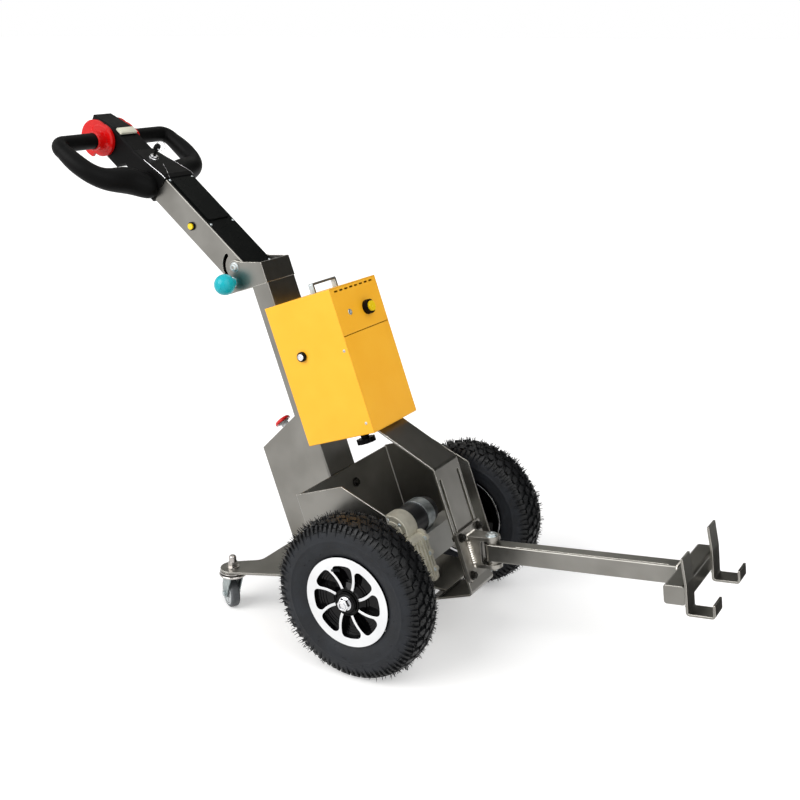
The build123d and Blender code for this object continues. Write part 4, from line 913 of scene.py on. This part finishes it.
wire(bm, curve([(x, y, CLIP_Z) for x, y in clip], 6), 1.2)
piece("hitch_pin_washer_and_clip", bm, zinc, "zinc_steel", at=tow_at)

# %% [markdown]
# ## Transaxle
#
# The casting is closed with screws round its flange, and the bell over the motor's shaft has a turned
# boss with a plug. The motor's far end carries two studs, and its shell a rolled bead at each end.

# %% Transaxle details
MOTOR_X, MOTOR_Z = -4.0, 77.3
FLANGE_Y, BELL_Y, SHELL_Y, STUD_Y = -30, -80, -30, 93
FLANGE_SCREWS = [(x, z) for x in (-60, 60) for z in (40, 0, -44)]
BOSS = ((7.5, 0), (7.5, 10.5), (6.6, 11.4), (0, 11.4))
bell = facing_to((0, -1, 0), MOTOR_X, BELL_Y, MOTOR_Z)
turned("gearbox_bosses", cast, "cast_alloy",
       *[(facing_to((0, -1, 0), x, FLANGE_Y, z), 24, BOSS) for x, z in FLANGE_SCREWS],
       (bell, 72, ((46.2, -2), (46.2, 1), (45, 2.2), (40, 2.2), (38.8, 1), (31, 0.8), (30, 2.6), (22, 3.4),
                   (21, 2), (15, 2), (14, 5.5), (0, 5.5))))
bm = bmesh.new()
for x, z in FLANGE_SCREWS:
    hexagon_bolt(bm, facing_to((0, -1, 0), x, FLANGE_Y - BOSS[-1][1], z), 8, 4.6)
hexagon_bolt(bm, facing_to((0, -1, 0), MOTOR_X, BELL_Y - 5.5, MOTOR_Z), 10, 5)
for angle in (30, 90, 150):
    x, z = around(35, angle)
    dome_screw(bm, facing_to((0, -1, 0), MOTOR_X + x, BELL_Y - 0.8, MOTOR_Z + z), 0.9)
piece("gearbox_screws", bm, zinc, "zinc_steel")

# %% Motor details
shell = facing_to((0, 1, 0), MOTOR_X, SHELL_Y, MOTOR_Z)
turned("motor_rolled_beads", motor_enamel, "motor_black",
       (shell, 72, ((42, 1), (43.2, 1.6), (43.6, 3), (43.2, 4.4), (42, 5))),
       (shell, 72, ((37, 97), (38.6, 97.6), (39.2, 100), (38.6, 102.4), (37, 103))),
       (shell, 64, ((36.9, 121.4), (34, 124), (18, 125.6), (17, 128), (12, 130.5), (0, 131))))
bm = bmesh.new()
for z in (-20, 20):
    stud = facing_to((0, 1, 0), MOTOR_X + 14, STUD_Y, MOTOR_Z + z)
    turn(bm, ((7.4, -1), (7.4, 1.2), (3.2, 1.2), (3.2, 9), (0, 9)), stud, 24)
    turn(bm, ((5.4, 1.2), (5.4, 5.2), (4.8, 5.8), (3.2, 5.8)), stud, 6)
piece("motor_studs", bm, copper, "zinc_steel")

# %% [markdown]
# ## Casters
#
# A pressed caster shows its bearing as two bright rings with a dark seal between, and its wheel is a
# grey tread on a ribbed nylon centre. The rings turn with the fork, the centre with the wheel.

# %% Caster details
CASTER_X, CASTER_Y, CASTER_TURN, TRAIL, WHEEL_HIGH = -451, 200, 31, 24, 40
SPOKES, SPOKE_RADIUS, FIRST_SPOKE = 8, 19, 10
for side, sign in (("left", 1), ("right", -1)):
    at = placed(axle.x + CASTER_X * MM, sign * CASTER_Y * MM, 0, -CASTER_TURN, "Z")
    fork, roller = ({"body": f"{side}_caster{end}", "at": at} for end in ("", "_roller"))
    bm = bmesh.new()
    for race in (((31, 102.6), (35.2, 103.4), (36.6, 105.2), (36.8, 107.6), (35.6, 109.2), (31, 109.6)),
                 ((26.2, 112.6), (33.6, 112.8), (34.8, 114), (34.2, 115.6), (32, 116.6), (26.2, 116.8))):
        turn(bm, race, steps=56)
    piece(f"{side}_caster_race", bm, bright_steel, "zinc_steel", **fork)
    bm = bmesh.new()
    turn(bm, ((26, 109.2), (33.8, 109.4), (34.2, 111), (33.8, 112.9), (26, 113)), steps=56)
    piece(f"{side}_caster_race_seal", bm, black_oxide, "zinc_steel", **fork)
    bm = bmesh.new()
    for face in (1, -1):
        turn(bm, ((27, -1), (26.8, 2.6), (25.4, 3.1), (24.2, 2.4), (23.4, 0.5), (14.5, 0.5), (13.8, 2.6),
                  (12, 2.9)), facing_to((0, face, 0), -TRAIL, face * 9.5, WHEEL_HIGH), 56)
        for index in range(SPOKES):
            angle = 360 / SPOKES * index + FIRST_SPOKE
            x, z = around(SPOKE_RADIUS, angle)
            bar(bm, (10.5, 3, 1.8), placed(x - TRAIL, face * 10.2, WHEEL_HIGH + z, -angle), 0.4, 1)
    piece(f"{side}_caster_wheel_centre", bm, grey_nylon, "caster_rubber", **roller)
    bm = bmesh.new()
    for face in (1, -1):
        wall = facing_to((0, face, 0), -TRAIL, face * 12.5, WHEEL_HIGH)
        turn(bm, ((28.4, -0.4), (28.8, 0.5), (30.2, 0.7), (31.6, 0.5), (32, -0.5)), wall, 56)
        turn(bm, ((33.2, -0.6), (33.5, 0.1), (34.1, 0.1), (34.4, -1)), wall, 56)
    piece(f"{side}_caster_sidewall_rings", bm, grey_nylon, "caster_rubber", **roller)

# %% [markdown]
# ## Lid, knob and stop button
#
# The red mushroom sits on a light collar and carries a raised ring to grip. The clamp knob has a
# moulding dimple at its pole, and the pivot's domed nut a shallow recess.

# %% Lid details
LID_SLOPE, LID_RUN = 24.69, 137
lid = placed(-345, 0, 355, -LID_SLOPE)
stop = lid @ placed(62, 0, 0)
gland = lid @ placed(LID_RUN / math.cos(math.radians(LID_SLOPE)) - 22, 0, 0)
turned("stop_collar", grey_nylon, "ivory_plastic",
       (stop, 48, ((19, -0.3), (19, 2), (17.8, 3), (11.5, 3.4), (10.8, 5), (10.6, 21), (15, 21.4),
                   (15.6, 22.4), (15, 24.2), (7.4, 24.2))))
turned("stop_knob_rings", red_abs, "red_plastic",
       (stop, 48, ((9, 32.6), (10, 33.7), (12.6, 33.9), (13.8, 32.7))),
       (stop, 48, ((22.4, 25.2), (23, 26), (23, 27.2), (22.3, 28))))
turned("gland_nut", black_moulding, "black_plastic",
       (gland, 6, ((12.6, -0.2), (12.6, 4), (11.8, 4.8), (9, 4.8))),
       (gland, 24, ((9.1, 8), (9.9, 8.6), (9.9, 13.2), (8.4, 15.2), (4.2, 15.6), (3.8, 13), (0, 13))))

# %% Clamp knob and pivot details
CLAMP_X, CLAMP_Z, PIVOT_X, PIVOT_Z = -262, 795, -242, 830
ball = facing_to((0, -1, 0), CLAMP_X, -94.5, CLAMP_Z)
turned("clamp_knob_rim", turquoise_abs, "turquoise_plastic",
       (ball, 36, ((8.6, 25), (8.8, 26), (7.8, 26.5), (6.6, 26.3), (5.6, 25.6), (0, 25.2))),
       (ball, 64, ((24.6, -12), (25.4, -11), (26.4, -7.4), (26.9, -4), (27.3, -2), (27.2, -0.6),
                   (26.6, 0.4))))
turned("clamp_knob_washer", zinc, "zinc_steel",
       (facing_to((0, 1, 0), CLAMP_X, -46.6, CLAMP_Z), 40,
        ((9.4, -8), (11.4, -8), (12.4, -8.4), (13.4, -11), (13.4, -13), (11, -13.6))))
PIVOT_CAP = ((13, -7.2), (13, -5.8), (9.7, -5.4), (9.7, -1.2), (8.4, 0.5), (4.4, 0.9), (3.8, -0.6), (0, -0.6))
turned("tiller_pivot_caps", zinc, "chrome_steel",
       *[(facing_to((0, sign, 0), PIVOT_X, sign * 66.5, PIVOT_Z), 36, PIVOT_CAP) for sign in (-1, 1)])

# %% [markdown]
# ## The tiller's head
#
# The handle's mouth has a bright trim along its edge. The key hangs on a wire ring, the rocker has a
# stepped face, and two small keys and a warning lamp sit at the top of the black cover.

# %% Handle trim and key
NECK_SLOPE = math.atan2(28, 122)
NECK_FROM, KEY_Z = 318, 394
on_tiller = {"body": "tiller", "at": tiller_at}
bm = bmesh.new()
near_edge = ((27.2, -55.2, 305), (27.2, -55.2, NECK_FROM), (18.7, -50.2, 356), (10.2, -45.1, 394))
wire(bm, near_edge, (0.9, 0.9, 0.9, 0.6))
wire(bm, [(x, -y, z) for x, y, z in near_edge], 0.45)
wire(bm, curve(((28.6, -40, 305.4), (27.2, -27, 327), (19.6, -6, 362)), 4), 0.75, 6)
piece("sleeve_trim", bm, chrome, "chrome_steel", **on_tiller)
key = placed(29 - (KEY_Z - NECK_FROM) * math.tan(NECK_SLOPE), -8, KEY_Z, -math.degrees(NECK_SLOPE))
ring = [around(12.5, 30 * step) for step in range(13)]
bm = bmesh.new()
turn(bm, ((13.2, -0.5), (13.2, 1.8), (12.4, 2.6), (11.2, 2.8), (11, 7.4), (9.6, 8.6), (5.4, 8.8), (4.6, 7.6),
          (0, 7.6)), key @ facing_to((1, 0, 0)), 40)
wire(bm, [(x + 40, -1.5, z - 8) for x, z in ring], 0.95, 8, key @ placed(0, 0, 0, 38, "X"))
bar(bm, (15, 6.4, 1.8), key @ placed(14.5, 0, 0), 0.5, 1)
piece("key_barrel_and_ring", bm, chrome, "chrome_steel", **on_tiller)

# %% Rocker switch details
bm = bmesh.new()
bar(bm, (2, 51, 13), placed(9.2, -4, 510), 0.8)
piece("rocker_step", bm, ivory_abs, "ivory_plastic", **on_tiller)
bm = bmesh.new()
for z in (498.6, 521.4):
    bar(bm, (3, 64, 2.4), placed(1.6, -4, z), 0.7)
for y in (-35.2, 27.2):
    bar(bm, (3, 1.6, 24), placed(1.6, y, 510), 0.7)
piece("rocker_frame", bm, black_moulding, "black_plastic", **on_tiller)

# %% Keys, lamp and screws of the cover
COVER_TOP = 27
bm = bmesh.new()
for y, z in ((-13, 275), (5, 266)):
    bar(bm, (3, 11, 7), placed(COVER_TOP + 0.6, y, z), 0.9)
piece("cover_keys", bm, ivory_abs, "ivory_plastic", **on_tiller)
lamp = facing_to((1, 0, 0), COVER_TOP, 14, 283)
turned("cover_lamp", red_abs, "red_plastic",
       (lamp, 24, ((3.6, 0), (3.6, 1.6), (2.6, 3.2), (1.2, 3.9), (0, 4))), **on_tiller)
bm = bmesh.new()
turn(bm, ((3.7, 0.9), (4.6, 1.1), (5.2, 0.5), (5.2, -0.2)), lamp, 24)
for z in (297, 128, -22):
    for y in (-44, 44):
        dome_screw(bm, facing_to((1, 0, 0), COVER_TOP, y, z), SMALL)
piece("cover_screws", bm, zinc, "zinc_steel", **on_tiller)
